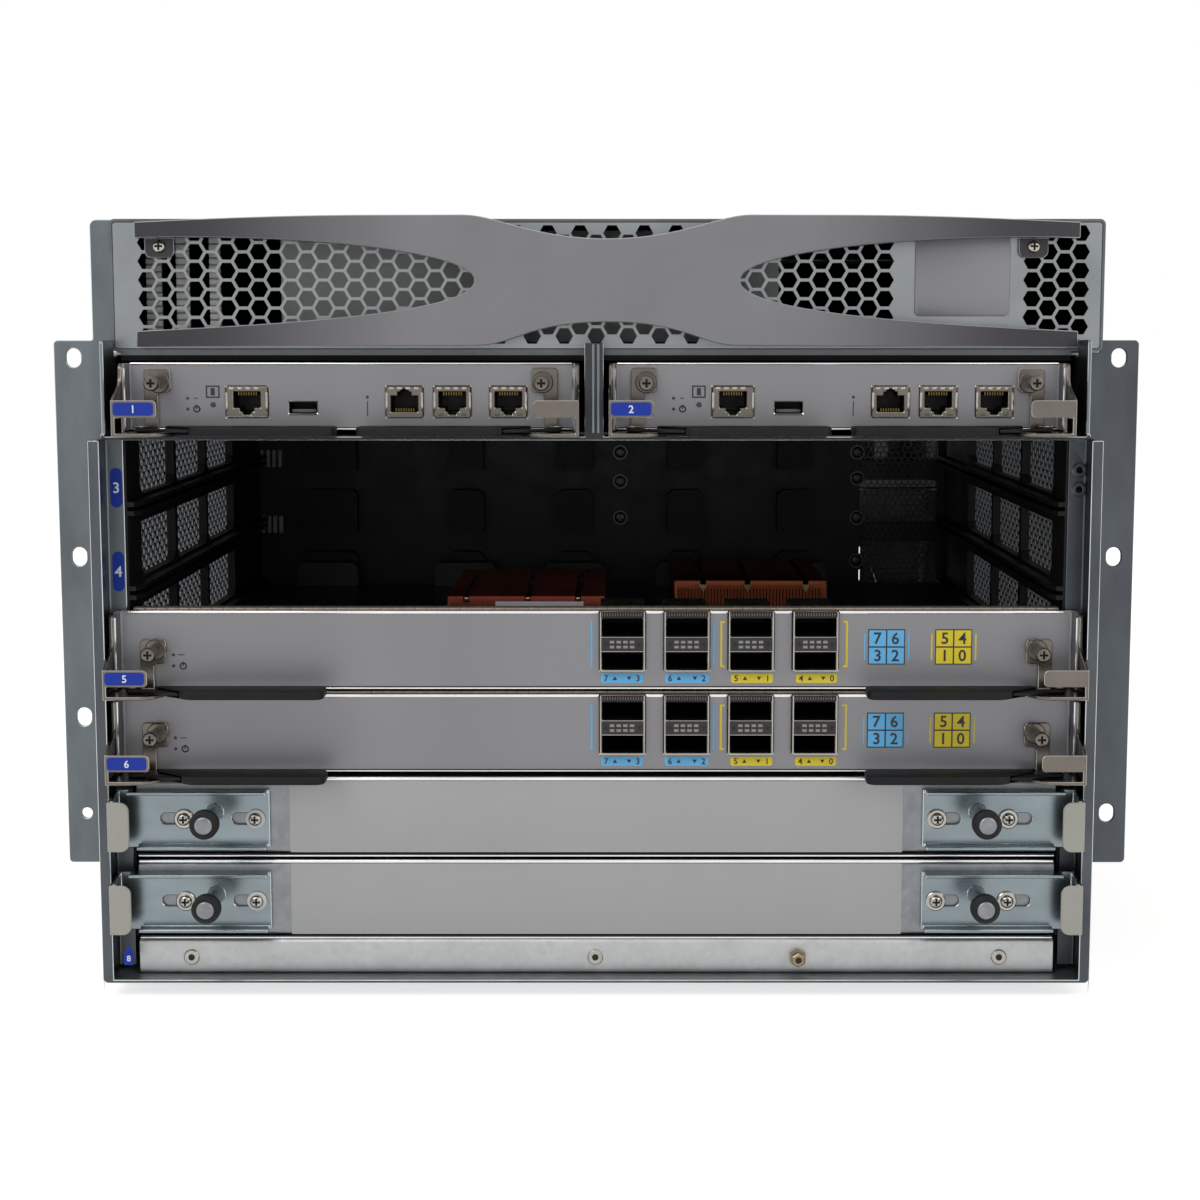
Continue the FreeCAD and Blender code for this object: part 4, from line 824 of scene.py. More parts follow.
    @staticmethod
    def join(name: str, pieces: list[Piece]) -> Piece:
        """Join several pieces into one."""
        Bench.pick(pieces[0])
        for piece in pieces:
            piece.select_set(True)
        if len(pieces) > 1:
            bpy.ops.object.join()
        joined = bpy.context.object
        joined.name = name
        return joined

    @staticmethod
    def cross(piece: Piece, front: Point, arm: float, deep: float) -> None:
        """Cut a cross recess into a screw head that faces the front.

        Args:
            piece: The screw.
            front: Middle of its head's front.
            arm: Reach of the recess's arms.
            deep: Depth of the recess.
        """
        x, y, z = front
        thin = arm * 0.27
        for wide, tall in ((arm, thin), (thin, arm)):
            Bench.cut(piece, Bench.block("cutter", (x - wide, y - 1.0, z - tall),
                                         (x + wide, y + deep, z + tall), 0.0))
        for finish in (BRIGHT_NICKEL_AND_HIGHLIGHT, RECESS_DARK):
            piece.data.materials.append(finish.build())
        for face in piece.data.polygons:
            spot = face.center / MM
            near = math.hypot(spot.x - x, spot.z - z) < arm * 1.05 and spot.y < y + deep + 0.05
            walled = abs(face.normal.y) < 0.1 or spot.y > y + deep - 0.05
            face.material_index = int(near and walled)

    @staticmethod
    def recast(node: str, name: str, finishes: tuple[Finish, ...], ease: float = 0.25,
               steps: int = 1, melt: bool = True) -> Piece:
        """Copy a CAD node's mesh as one clean sheet and ease its folded edges.

        Args:
            node: The CAD node.
            name: The new piece's name.
            finishes: Its finish, the finish of its eased edges, and any others.
            ease: Width of the eased edges.
            steps: Segments across them.
            melt: Whether flat faces are first melted into one.

        Returns:
            The new piece, not yet fastened.
        """
        mesh = bpy.data.objects[node].data.copy()
        mesh.materials.clear()
        piece = bpy.data.objects.new(name, mesh)
        bpy.context.scene.collection.objects.link(piece)
        Bench.pick(piece)
        bpy.ops.mesh.customdata_custom_splitnormals_clear()
        Bench.enter()
        bpy.ops.mesh.remove_doubles(threshold=CAD_MERGE * MM)
        if melt:
            bpy.ops.mesh.dissolve_limited(angle_limit=math.radians(FLAT_ANGLE))
        bpy.ops.object.mode_set(mode="OBJECT")
        for finish in finishes:
            mesh.materials.append(finish.build())
        for face in mesh.polygons:
            face.material_index = 0
        if ease:
            Bench.edge(piece, ease, steps)
        return piece

    @staticmethod
    def edge(piece: Piece, ease: float, steps: int = 1) -> None:
        """Ease a sheet's sharp edges, which get the piece's second finish.

        Args:
            piece: The sheet.
            ease: Width of the eased edges.
            steps: Segments across them.
        """
        Bench.modify(piece, "BEVEL", width=ease * MM, segments=steps, limit_method="ANGLE",
                     angle_limit=math.radians(FOLD_ANGLE), use_clamp_overlap=False,
                     loop_slide=False, material=min(1, len(piece.data.materials) - 1))
        Bench.smooth(piece, 30.0)

    @staticmethod
    def tint(piece: Piece, slot: int, where: Callable[[Vector], bool]) -> None:
        """Put the faces whose middle, in millimetres, passes a test into a material slot."""
        for face in piece.data.polygons:
            if where(face.center / MM):
                face.material_index = slot

    @staticmethod
    def loose(piece: Piece) -> list[Piece]:
        """Separate a piece into its solids."""
        Bench.pick(piece)
        bpy.ops.mesh.separate(type="LOOSE")
        return list(bpy.context.selected_objects)

    @staticmethod
    def honeycomb(name: str, low: Point, high: Point, flats: float, web: float,
                  thick: float) -> Piece:
        """Make a sheet of hexagonal holes that faces the front.

        Args:
            name: The piece's name.
            low: Lowest corner of the field.
            high: Highest corner of the field, at the same Y.
            flats: Width of a hole.
            web: Width of the metal between holes.
            thick: Thickness of the sheet.

        Returns:
            The new piece.
        """
        pitch = flats + web
        row = pitch * math.sqrt(3) / 2
        made = []
        for shift, lift in ((0.5, 0.5), (1.0, 0.5 + math.sqrt(3) / 2)):
            place = ((low[0] + shift * pitch) * MM, low[1] * MM, (low[2] + lift * pitch) * MM)
            cell = Bench.disc("cell", Vector(place), pitch / math.sqrt(3), 6)
            Bench.enter()
            bpy.ops.mesh.inset(thickness=web / 2 * MM)
            bpy.ops.mesh.delete(type="FACE")
            bpy.ops.object.mode_set(mode="OBJECT")
            made.append(cell)
        piece = Bench.join(name, made)
        for axis, step, span in ((Axis.X, pitch, high[0] - low[0] - pitch),
                                 (Axis.Z, 2 * row, high[2] - low[2] - row / 2)):
            Bench.row(piece, axis, step, max(1, int(span / step)))
        Bench.enter()
        bpy.ops.mesh.remove_doubles(threshold=COMB_MERGE * MM)
        Bench.leave()
        Bench.modify(piece, "SOLIDIFY", thickness=thick * MM, offset=0)
        return piece

    @staticmethod
    def row(piece: Piece, axis: Axis, step: float, count: int) -> Piece:
        """Repeat a piece along an axis.

        Args:
            piece: The piece, which grows into the row.
            axis: Direction of the row.
            step: Distance from one to the next.
            count: How many there are.

        Returns:
            The same piece.
        """
        offset = [step * MM if i == axis.value else 0 for i in range(3)]
        Bench.modify(piece, "ARRAY", use_relative_offset=False, use_constant_offset=True,
                     constant_offset_displace=offset, count=count)
        return piece

    @staticmethod
    def stand(piece: Piece) -> None:
        """Turn a sheet that faces the front into a side wall, its rows upright."""
        piece.matrix_world = Matrix(((0, 1, 0, 0), (0, 0, 1, 0), (1, 0, 0, 0), (0, 0, 0, 1)))
        Bench.settle(piece)


def wear(piece: Piece, finish: Finish | ZonedFinish) -> Piece:
    """Give a piece one finish all over, in place of what it wore."""
    material = finish.build()
    if piece.material_slots:
        for slot in piece.material_slots:
            slot.material = material
    else:
        piece.data.materials.append(material)
    return piece


def fit(piece: Piece, body: str) -> Piece:
    """Fasten a finished piece to the body that carries it.

    Args:
        piece: The piece.
        body: Name of the body it moves with.

    Returns:
        The same piece.
    """
    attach(piece, body)
    LOG.info("%s rides on %s: %d faces", piece.name, body, len(piece.data.polygons))
    return piece


def corners(node: str) -> tuple[Point, Point]:
    """Lowest and highest corner of a CAD node, in millimetres."""
    low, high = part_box(node)
    return tuple(v / MM for v in low), tuple(v / MM for v in high)


# ------------------------------------------------------------------ small parts made once
@dataclass
class Kit:
    """Small parts, each modelled once at the origin and copied to its places."""

    masters: dict[str, Piece] = field(default_factory=dict)

    def stock(self) -> None:
        """Model every small part."""
        captive = Bench.turned("captive_screw", (0, 0, 0), [
            (1.9, 0.0), (2.8, 0.25), (3.3, 0.9), (3.3, 4.0), (2.6, 4.0), (2.6, 24.0)], 24)
        Bench.cross(captive, (0, 0, 0), 1.8, 1.5)
        captive.data.materials[0] = NICKEL.build()
        ferrule = Bench.turned("ferrule", (0, 0, 0), [
            (3.2, -1.3), (4.3, -1.3), (4.7, -0.9), (4.7, 0.0)], 28)
        head = Bench.turned("pan_head", (0, 0, 0), [
            (1.1, -1.9), (2.1, -1.6), (2.8, -0.9), (3.0, 0.0), (1.9, 0.0), (1.9, 7.0)], 28)
        Bench.cross(head, (0, -1.9, 0), 1.7, 1.2)
        washer = Bench.turned("washer", (0, 0, 0), [
            (4.0, -0.8), (4.4, -0.5), (4.4, 0.0)], 32)
        dome = Bench.turned("dome_screw", (0, 0, 0), [
            (1.4, -2.6), (2.6, -2.2), (3.4, -1.0), (3.4, -0.8), (4.6, -0.8), (4.8, 0.0)], 24)
        Bench.cross(dome, (0, -2.6, 0), 1.9, 1.2)
        lamp = Bench.turned("lamp", (0, 0, 0), [(0.35, -0.22), (0.62, -0.1), (0.72, 0.0)], 14)
        ring = Bench.turned("insert_ring", (0, 0, 0), [
            (1.5, -0.6), (1.5, -0.9), (3.1, -0.9), (3.5, -0.5), (3.5, 4.0)], 24)
        for piece, finish in ((captive, BRIGHT_NICKEL_AND_HIGHLIGHT), (ferrule, NICKEL), (head, BRIGHT_NICKEL_AND_HIGHLIGHT),
                              (washer, BRIGHT_NICKEL_AND_HIGHLIGHT), (dome, BRIGHT_NICKEL_AND_HIGHLIGHT), (lamp, DARK_LENS),
                              (ring, BRIGHT_NICKEL_AND_HIGHLIGHT)):
            self.masters[piece.name] = piece if piece.data.materials else wear(piece, finish)

    def place(self, key: str, spot: Point) -> Piece:
        """Copy a small part to a spot."""
        return Bench.copy(self.masters[key], f"{key}_placed", spot)

    def put_away(self) -> None:
        """Remove the originals once every copy is made."""
        for piece in self.masters.values():
            bpy.data.objects.remove(piece)
        self.masters.clear()


@dataclass
class Prints:
    """Labels and printed marks of one body, joined into one piece at the end."""

    body: str
    front: float
    made: list[Piece] = field(default_factory=list)

    def label(self, ink: Finish, low: tuple[float, float], high: tuple[float, float],
              radius: float = 0.0, front: float | None = None) -> None:
        """Lay a thin plain label.

        Args:
            ink: Its colour.
            low: Its lowest X and Z.
            high: Its highest X and Z.
            radius: Radius of its corners.
            front: Y of the surface it lies on, where it isn't the usual one.
        """
        face = self.front if front is None else front
        spots = (low[0], face - LABEL_THICK, low[1]), (high[0], face, high[1])
        if radius:
            piece = Bench.rounded("label", *spots, Axis.Y, radius, 0.0)
        else:
            piece = Bench.block("label", *spots, 0.0)
        self.made.append(wear(piece, ink))

    def figures(self, ink: Finish, text: str, x: float, z: float, height: float,
                front: float | None = None) -> None:
        """Print plain figures on a label.

        Args:
            ink: Their colour.
            text: The figures.
            x: Their middle's X.
            z: Their middle's Z.
            height: Their height.
            front: Y of the surface under the label, where it isn't the usual one.
        """
        face = self.front if front is None else front
        piece = Bench.numeral("figures", text, (x, face - FIGURE_LIFT, z), height)
        self.made.append(wear(piece, ink))

    def pointer(self, ink: Finish, x: float, z: float, radius: float, up: bool) -> None:
        """Print a small triangle that points up or down."""
        turn = 0.0 if up else 180.0
        piece = Bench.prism("pointer", (x, self.front - 0.2, z), radius, 3, 0.1, turn)
        self.made.append(wear(piece, ink))

    def outline(self, ink: Finish, low: tuple[float, float], high: tuple[float, float],
                wide: float) -> None:
        """Print a thin rectangular outline."""
        front = self.front - LABEL_THICK - 0.06
        piece = Bench.rim("outline", (low[0], front, low[1]), (high[0], front, high[1]), wide, 0.18)
        self.made.append(wear(piece, ink))

    def ring(self, ink: Finish, x: float, z: float, radius: float) -> None:
        """Print a small ring with a stroke at its top."""
        Bench.clear()
        bpy.ops.mesh.primitive_torus_add(
            major_segments=20, minor_segments=4, major_radius=radius * MM, minor_radius=0.32 * MM,
            location=(x * MM, self.front * MM, z * MM), rotation=(math.pi / 2, 0, 0))
        piece = bpy.context.object
        Bench.settle(piece)
        self.made.append(wear(piece, ink))
        self.label(ink, (x - 0.27, z), (x + 0.27, z + radius + 0.6), 0.0, self.front - 0.1)

    def done(self, name: str) -> None:
        """Join the marks and fasten them to their body."""
        fit(Bench.join(name, self.made), self.body)


# ------------------------------------------------------------------ blades
@dataclass
class BladeEnds:
    """Corner brackets, levers and captive screws of a blade, and its faceplate."""

    kit: Kit
    blade: str
    centre: float
    half: float
    screw_in: float
    screw_z: float
    tab_low: float
    figure: str
    tab_front: float = -313.6
    tab_long: float = 19.4
    tab_high: float = 7.4
    screw_front: float = -308.0
    ear_front: float = -290.5

    def brackets(self) -> None:
        """Recast the nickel-plated corner brackets, their folded edges lighter as a painted
        highlight.
        """
        piece = Bench.recast(f"{self.blade}_brackets", f"{self.blade}_corner_pressings",
                             (NICKEL, BRIGHT_NICKEL_AND_HIGHLIGHT), 0.25)
        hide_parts(f"{self.blade}_brackets")
        fit(piece, self.blade)

    def screws(self) -> None:
        """Fit the captive screws in their ferrules."""
        made = []
        for hand in Hand:
            x = self.centre + hand.value * (self.half - self.screw_in)
            made.append(self.kit.place("captive_screw", (x, self.screw_front, self.screw_z)))
            made.append(self.kit.place("ferrule", (x, self.ear_front, self.screw_z)))
        piece = Bench.join(f"{self.blade}_captive_screws", made)
        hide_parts(f"{self.blade}_screws")
        fit(piece, self.blade)

    def levers(self) -> None:
        """Recast each lever as a bright foot plate in a black moulded grip."""
        for hand in Hand:
            node = f"{self.blade}_lever_{hand.name.lower()}"
            # The foot plate's eased edges wear a painted highlight.
            solids = Bench.loose(Bench.recast(node, f"{node}_handle",
                                              (FOOT_NICKEL, BRIGHT_NICKEL_AND_HIGHLIGHT, BLACK_NYLON), 0.0))
            grip = min(solids, key=lambda solid: Bench.span(solid)[0].y)
            for solid in solids:
                if solid is grip:
                    wear(solid, BLACK_NYLON)
                    Bench.edge(solid, 0.7, 2)
                else:
                    Bench.edge(solid, 0.3)
            piece = Bench.join(f"{node}_handle", solids)
            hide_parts(node)
            fit(piece, node)

    def tab_label(self, prints: Prints) -> None:
        """Put the blue label with the slot's number on the left tab."""
        low = self.centre - self.half + 1.0
        high = low + self.tab_long - 2.2
        bottom = self.tab_low + 0.9
        top = self.tab_low + self.tab_high - 0.9
        prints.label(BLUE_LABEL, (low, bottom), (high, top), 1.4, self.tab_front)
        prints.figures(WHITE_INK, self.figure, (low + high) / 2, (bottom + top) / 2, 3.2,
                       self.tab_front)

    def faceplate(self) -> None:
        """Recast the folded faceplate between the ends."""
        # Its eased folds wear the painted highlight.
        piece = Bench.recast(f"{self.blade}_faceplate", f"{self.blade}_face_sheet",
                             (FACE_SHEET, FACE_EDGE_HIGHLIGHT), 0.45)
        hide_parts(f"{self.blade}_faceplate")
        fit(piece, self.blade)

    def build(self) -> None:
        """Build both ends and the faceplate."""
        self.brackets()
        self.screws()
        self.levers()
        self.faceplate()


@dataclass
class RolledEdges:
    """Painted highlight on a blade's or panel's rolled top edge and folded foot, with painted shade
    above the foot.
    """

    body: str
    face: float
    top: float
    foot: float
    runs: tuple[tuple[float, float], ...]
    foot_run: tuple[float, float]
    tall: float = 1.3

    def build(self) -> None:
        """Model the rolls and fasten them to their body."""
        made = [wear(Bench.block("roll", (low, self.face - 0.6, self.top - self.tall),
                                 (high, self.face + 1.4, self.top), 0.55, 3), FACE_EDGE_HIGHLIGHT)
                for low, high in self.runs]
        low, high = self.foot_run
        made.append(wear(Bench.block("foot_fold", (low, self.face - 0.9, self.foot),
                                     (high, self.face + 0.4, self.foot + 0.7), 0.25, 2), FACE_EDGE_HIGHLIGHT))
        made.append(wear(Bench.block("foot_shade", (low, self.face - 0.15, self.foot + 0.7),
                                     (high, self.face + 0.4, self.foot + 1.1), 0.0), NICKEL_PAINTED_SHADE))
        fit(Bench.join(f"{self.body}_rolled_edges", made), self.body)


@dataclass
class Jack:
    """An eight-way jack on a control blade, placed from the blade's middle."""

    offset: float
    wide: float
    key_up: bool = False
    lamps: bool = False


@dataclass
class ControlBlade:
    """A control blade: grey sheet face, four jacks, a USB socket and two black levers."""

    kit: Kit
    number: int
    centre: float
    half: float = 99.8
    face: float = -289.0
    jacks: tuple[Jack, ...] = (Jack(-45.6, 17.9), Jack(23.2, 15.9, key_up=True),
                               Jack(44.1, 15.9, lamps=True), Jack(68.6, 15.9, lamps=True))
    jack_low: float = 249.9
    jack_high: float = 263.1
    jack_front: float = -289.8
    usb_offset: float = -21.2
    contact_pitch: float = 1.1

    @property
    def name(self) -> str:
        """The blade's CAD body."""
        return f"control_blade_{self.number}"

    def in_pocket(self, spot: Vector) -> bool:
        """Whether a spot is on the inside of a jack or of the USB socket."""
        if not self.jack_front + 0.3 < spot.y < -271.9:
            return False
        for jack in self.jacks:
            if abs(spot.x - self.centre - jack.offset) < 6.6:
                return self.jack_low + 0.6 < spot.z < self.jack_high - 0.6
        return (abs(spot.x - self.centre - self.usb_offset) < 6.4
                and self.jack_low + 0.7 < spot.z < self.jack_low + 6.9 and spot.y > -287.3)

    def shells(self) -> None:
        """Recast the plated jack shells with black insides: the jacks' own moulding, and painted
        shade in the USB socket.
        """
        piece = Bench.recast(f"{self.name}_jacks", f"{self.name}_jack_shells",
                             (NICKEL, BRIGHT_NICKEL_AND_HIGHLIGHT, PORT_BLACK_AND_POCKET_SHADE), 0.25)
        Bench.tint(piece, 2, self.in_pocket)
        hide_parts(f"{self.name}_jacks")
        fit(piece, self.name)

    def insides(self) -> None:
        """Fit contact springs, lamps, shield tabs and the USB tongue."""
        made = []
        front = self.jack_front
        for jack in self.jacks:
            x = self.centre + jack.offset
            low, high = (252.2, 253.6) if jack.key_up else (259.3, 260.8)
            spring = wear(Bench.block("spring", (x - 4.1, front + 2.5, low),
                                      (x - 3.6, front + 10.5, high), 0.0), GOLD)
            Bench.row(spring, Axis.X, self.contact_pitch, 8)
            made.append(spring)
            reach = jack.wide / 2
            for side in (-1, 1):
                inner, outer = sorted((x + side * (reach - 0.7), x + side * (reach + 0.25)))
                made.append(wear(Bench.block("shield_tab", (inner, front - 0.45, 252.6),
                                             (outer, front + 0.3, 260.6), 0.15), BRIGHT_NICKEL_AND_HIGHLIGHT))
                if jack.lamps:
                    made.append(wear(Bench.block(
                        "jack_lamp", (x + side * 5.0 - 1.1, front - 0.12, 250.5),
                        (x + side * 5.0 + 1.1, front + 0.2, 252.2), 0.1), GREEN_LENS))
            tabs = wear(Bench.block("top_tab", (x - reach + 1.4, front - 0.35, 261.9),
                                    (x - reach + 3.4, front + 0.2, 263.0), 0.12), BRIGHT_NICKEL_AND_HIGHLIGHT)
            Bench.row(tabs, Axis.X, 3.6, 4)
            made.append(tabs)
        x = self.centre + self.usb_offset
        made.append(wear(Bench.block("usb_tongue", (x - 5.4, -285.6, 251.7),
                                     (x + 5.4, -276.5, 253.2), 0.15), GREY_LABEL))
        made.append(wear(Bench.block("usb_lip", (x - 6.3, -289.3, 250.7),
                                     (x + 6.3, -287.8, 251.35), 0.15), NICKEL))
        fit(Bench.join(f"{self.name}_contacts", made), self.name)

    def marks(self, ends: BladeEnds) -> None:
        """Print the face's marks and fit its small lamps."""
        prints = Prints(self.name, self.face)
        ends.tab_label(prints)
        for z in (258.1, 253.4):
            prints.made.append(self.kit.place("lamp", (self.centre - 71.5, self.face, z)))
        prints.outline(BLACK_INK, (self.centre - 63.5, 258.2), (self.centre - 57.5, 263.6), 0.6)
        prints.label(BLACK_INK, (self.centre - 61.4, 259.3), (self.centre - 59.6, 262.5), 0.3)
        beacon = Bench.turned("beacon", (self.centre - 60.4, self.face, 255.3),
                              [(0.9, -0.5), (1.15, -0.3), (1.2, 0.0)], 18)
        prints.made.append(wear(beacon, DARK_LENS))
        prints.ring(BLACK_INK, self.centre - 67.6, 253.4, 1.3)
        prints.label(BLACK_INK, (self.centre - 68.8, 257.9), (self.centre - 67.0, 258.3))
        prints.label(BLACK_INK, (self.centre + 6.8, 250.2), (self.centre + 7.2, 256.8))
        prints.made.append(self.kit.place("lamp", (self.centre + 7.0, self.face, 258.6)))
        prints.done(f"{self.name}_marks")

    def build(self) -> None:
        """Build the whole blade."""
        ends = BladeEnds(self.kit, self.name, self.centre, self.half, 16.2, 265.0, 250.5,
                         str(self.number))
        ends.build()
        run = (self.centre - 96.5, self.centre + 96.5)
        RolledEdges(self.name, self.face, 273.6, 244.3, (run,), run, 1.0).build()
        self.shells()
        self.insides()
        self.marks(ends)


@dataclass
class PortGroup:
    """The printed marks that belong to one port cage of a core blade."""

    ink: Finish
    pill: tuple[float, float]
    figures: tuple[str, str]


@dataclass
class CoreBlade:
    """A core blade: wide grey face with four double port cages and two copper heat sinks."""

    kit: Kit
    number: int
    zero: float
    half: float = 213.5
    face: float = -289.0
    cage_first: float = 11.65
    cage_pitch: float = 28.45
    cage_front: float = -292.0
    left_start: float = -76.0
    left_wide: float = 79.0
    left_shares: tuple[float, ...] = (0.12, 0.51, 0.83)
    right_start: float = 38.8
    right_wide: float = 79.5
    right_shares: tuple[float, ...] = (0.19, 0.48, 0.86)
    groups: tuple[PortGroup, ...] = field(default_factory=lambda: (
        PortGroup(LIGHT_BLUE_LABEL, (2.1, 20.8), ("7", "3")),
        PortGroup(LIGHT_BLUE_LABEL, (30.5, 50.0), ("6", "2")),
        PortGroup(YELLOW_LABEL, (59.8, 78.4), ("5", "1")),
        PortGroup(YELLOW_LABEL, (88.6, 106.9), ("4", "0"))))

    @property
    def name(self) -> str:
        """The blade's CAD body."""
        return f"core_blade_{self.number}"

    def cage_x(self, spot: Vector) -> float:
        """Distance of a spot from the middle of the nearest cage."""
        return min(abs(spot.x - self.cage_first - n * self.cage_pitch) for n in range(4))

    def cages(self) -> None:
        """Recast the plated cages, with painted shade in black on their metal insides."""
        piece = Bench.recast(f"{self.name}_cages", f"{self.name}_port_cages",
                             (NICKEL, BRIGHT_NICKEL_AND_HIGHLIGHT, PORT_BLACK_AND_POCKET_SHADE), 0.2)
        Bench.tint(piece, 2, lambda spot: self.cage_front + 0.4 < spot.y < -245.0
                   and self.cage_x(spot) < 9.5 and 10.1 < spot.z - self.zero < 33.5)
        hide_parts(f"{self.name}_cages")
        fit(piece, self.name)

    def cage_front_detail(self) -> Piece:
        """Model one cage's spring comb, lamp strip, pointers and lip, with its middle at X 0."""
        front = self.cage_front
        made = [wear(Bench.block("comb_bed", (-9.5, front - 0.2, self.zero + 33.5),
                                 (9.5, front, self.zero + 36.2), 0.0), RECESS_DARK)]
        tooth = wear(Bench.block("tooth", (-9.2, front - 0.6, self.zero + 34.3),
                                 (-8.7, front - 0.1, self.zero + 35.7), 0.1, 1), NICKEL)
        Bench.row(tooth, Axis.X, 1.15, 16)
        made.append(tooth)
        # The lamp strip wears plating darkened by painted shade.
        made.append(wear(Bench.block("lamp_strip", (-9.2, front - 0.25, self.zero + 18.8),
                                     (9.2, front, self.zero + 24.8), 0.0), NICKEL_PAINTED_SHADE))
        for low, high in ((20.0, 21.2), (22.2, 23.4)):
            bar = wear(Bench.block("lamp_bar", (-5.6, front - 0.4, self.zero + low),
                                   (-3.6, front - 0.2, self.zero + high), 0.1, 1), LAMP_FILM)
            Bench.row(bar, Axis.X, 2.95, 4)
            made.append(bar)
        for x, turn in ((-7.4, 0.0), (7.4, 180.0)):
            made.append(wear(Bench.prism("pointer", (x, front - 0.4, self.zero + 21.8), 1.3, 3, 0.2,
                                         turn), RECESS_DARK))
        for low, high in ((9.6, 10.25), (18.4, 18.8), (24.8, 25.15)):
            made.append(wear(Bench.block("lip", (-9.6, front - 0.5, self.zero + low),
                                         (9.6, front, self.zero + high), 0.1, 1), BRIGHT_NICKEL_AND_HIGHLIGHT))
        for side in (-1, 1):
            low, high = sorted((side * 9.35, side * 9.95))
            made.append(wear(Bench.block("side_fold", (low, front - 0.35, self.zero + 9.7),
                                         (high, front, self.zero + 36.3), 0.1, 1), BRIGHT_NICKEL_AND_HIGHLIGHT))
        return Bench.join("cage_front", made)

    def cage_fronts(self) -> None:
        """Copy the front detail to each cage."""
        first = self.cage_front_detail()
        made = [Bench.copy(first, "cage_front_copy", (self.cage_first + n * self.cage_pitch, 0, 0))
                for n in range(4)]
        bpy.data.objects.remove(first)
        fit(Bench.join(f"{self.name}_cage_fronts", made), self.name)

    def gasket(self) -> None:
        """Lay the spring gasket's fingers over the top flange."""
        finger = Bench.block("finger", (-205.0, self.face + 2.0, self.zero + 36.4),
                             (-200.12, self.face + 9.0, self.zero + 37.4), 0.12)
        wear(finger, GASKET)
        Bench.row(finger, Axis.X, 5.0, 82)
        carrier = Bench.block("carrier", (-46.0, self.face + 27.0, self.zero + 30.0),
                              (-6.0, self.face + 27.6, self.zero + 37.1), 0.1)
        fit(Bench.join(f"{self.name}_label_carrier", [wear(carrier, PALE_CARRIER)]), self.name)
        finger.name = f"{self.name}_spring_gasket"
        fit(finger, self.name)

    def heat_sinks(self) -> None:
        """Recast the copper heat sinks with their bright springs and clips, and painted shade along
        the right sink's grooves.
        """
        low, high = corners(f"{self.name}_heatsinks")
        left = Bench.block("sink_left", low, (3.0, -33.0, self.zero + 27.0), 0.8)
        right = Bench.block("sink_right", (self.right_start, -116.0, low[2]), high, 0.8)
        for sink, start, wide, shares in (
                (left, self.left_start, self.left_wide, self.left_shares),
                (right, self.right_start, self.right_wide, self.right_shares)):
            top = Bench.span(sink)[1].z / MM
            for share in shares:
                x = start + wide * share
                Bench.cut(sink, Bench.block("cutter", (x - 1.5, low[1] - 5, top - 3.2),
                                            (x + 1.5, 10.0, top + 2), 0.0))
            front = Bench.span(sink)[0].y / MM
            slit = Bench.block("cutter", (start + 2.0, front - 1.0, self.zero + 9.0),
                               (start + 2.5, front + 4.0, top - 4.5), 0.0)
            Bench.row(slit, Axis.X, 1.7, int((wide - 4) / 1.7))
            Bench.cut(sink, slit)
            Bench.smooth(sink)
        sinks = Bench.join(f"{self.name}_copper_sinks",
                           [wear(left, COPPER_BROWN), wear(right, COPPER)])
        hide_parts(f"{self.name}_heatsinks")
        fit(sinks, self.name)
        made = []
        for share in self.left_shares:
            x = self.left_start + self.left_wide * share
            made.append(wear(Bench.block("spring_strip", (x - 1.0, -157.6, self.zero + 24.4),
                                         (x + 1.0, -33.4, self.zero + 26.2), 0.3), COPPER_BRIGHT))
        for share in self.right_shares:
            x = self.right_start + self.right_wide * share
            made.append(wear(Bench.prism("clip", (x, -117.4, self.zero + 26.6), 2.6, 3, 1.4, 180.0),
                             CLIP_BRASS))
            made.append(wear(Bench.block("groove_shade", (x - 1.4, -115.4, self.zero + 26.9),
                                         (x + 1.4, -0.6, self.zero + 27.4), 0.0), NICKEL_PAINTED_SHADE))
        fit(Bench.join(f"{self.name}_sink_springs", made), self.name)

    def marks(self, ends: BladeEnds) -> None:
        """Print the port numbers, their coloured fields and the lamps' marks."""
        prints = Prints(self.name, self.face)
        ends.tab_label(prints)
        z = self.zero
        for group in self.groups:
            low, high = group.pill
            prints.label(group.ink, (low, z + 4.1), (high, z + 8.2), 1.0)
            prints.figures(BLACK_INK, group.figures[0], low + 2.3, z + 6.15, 2.7)
            prints.figures(BLACK_INK, group.figures[1], high - 2.3, z + 6.15, 2.7)
            prints.pointer(BLACK_INK, low + 6.2, z + 5.95, 1.15, True)
            prints.pointer(BLACK_INK, high - 6.2, z + 6.35, 1.15, False)
        for ink, low, high in ((LIGHT_BLUE_LABEL, -2.5, -1.7), (LIGHT_BLUE_LABEL, 51.7, 52.5),
                               (YELLOW_LABEL, 55.0, 55.8), (YELLOW_LABEL, 110.6, 111.4)):
            prints.label(ink, (low, z + 11.2), (high, z + 31.8))
        for low, high in ((55.8, 57.1), (109.3, 110.6)):
            for level in (11.2, 31.0):
                prints.label(YELLOW_LABEL, (low, z + level), (high, z + level + 0.8))
        for ink, low, high, numbers in ((LIGHT_BLUE_LABEL, 120.7, 136.5, "7632"),
                                        (YELLOW_LABEL, 150.4, 166.2, "5410")):
            middle = (low + high) / 2
            prints.label(ink, (low, z + 12.6), (high, z + 27.8))
            spots = [(x, z + level) for level in (24.1, 16.4) for x in (low + 4.0, high - 4.0)]
            for text, (x, level) in zip(numbers, spots):
                prints.figures(BLACK_INK, text, x, level, 5.0)
            prints.label(BLACK_INK, (middle - 0.3, z + 12.6), (middle + 0.3, z + 27.8), 0.0,
                         self.face - 0.08)
            prints.label(BLACK_INK, (low, z + 19.9), (high, z + 20.5), 0.0, self.face - 0.09)
            prints.outline(BLACK_INK, (low - 0.3, z + 12.3), (high + 0.3, z + 28.1), 0.5)
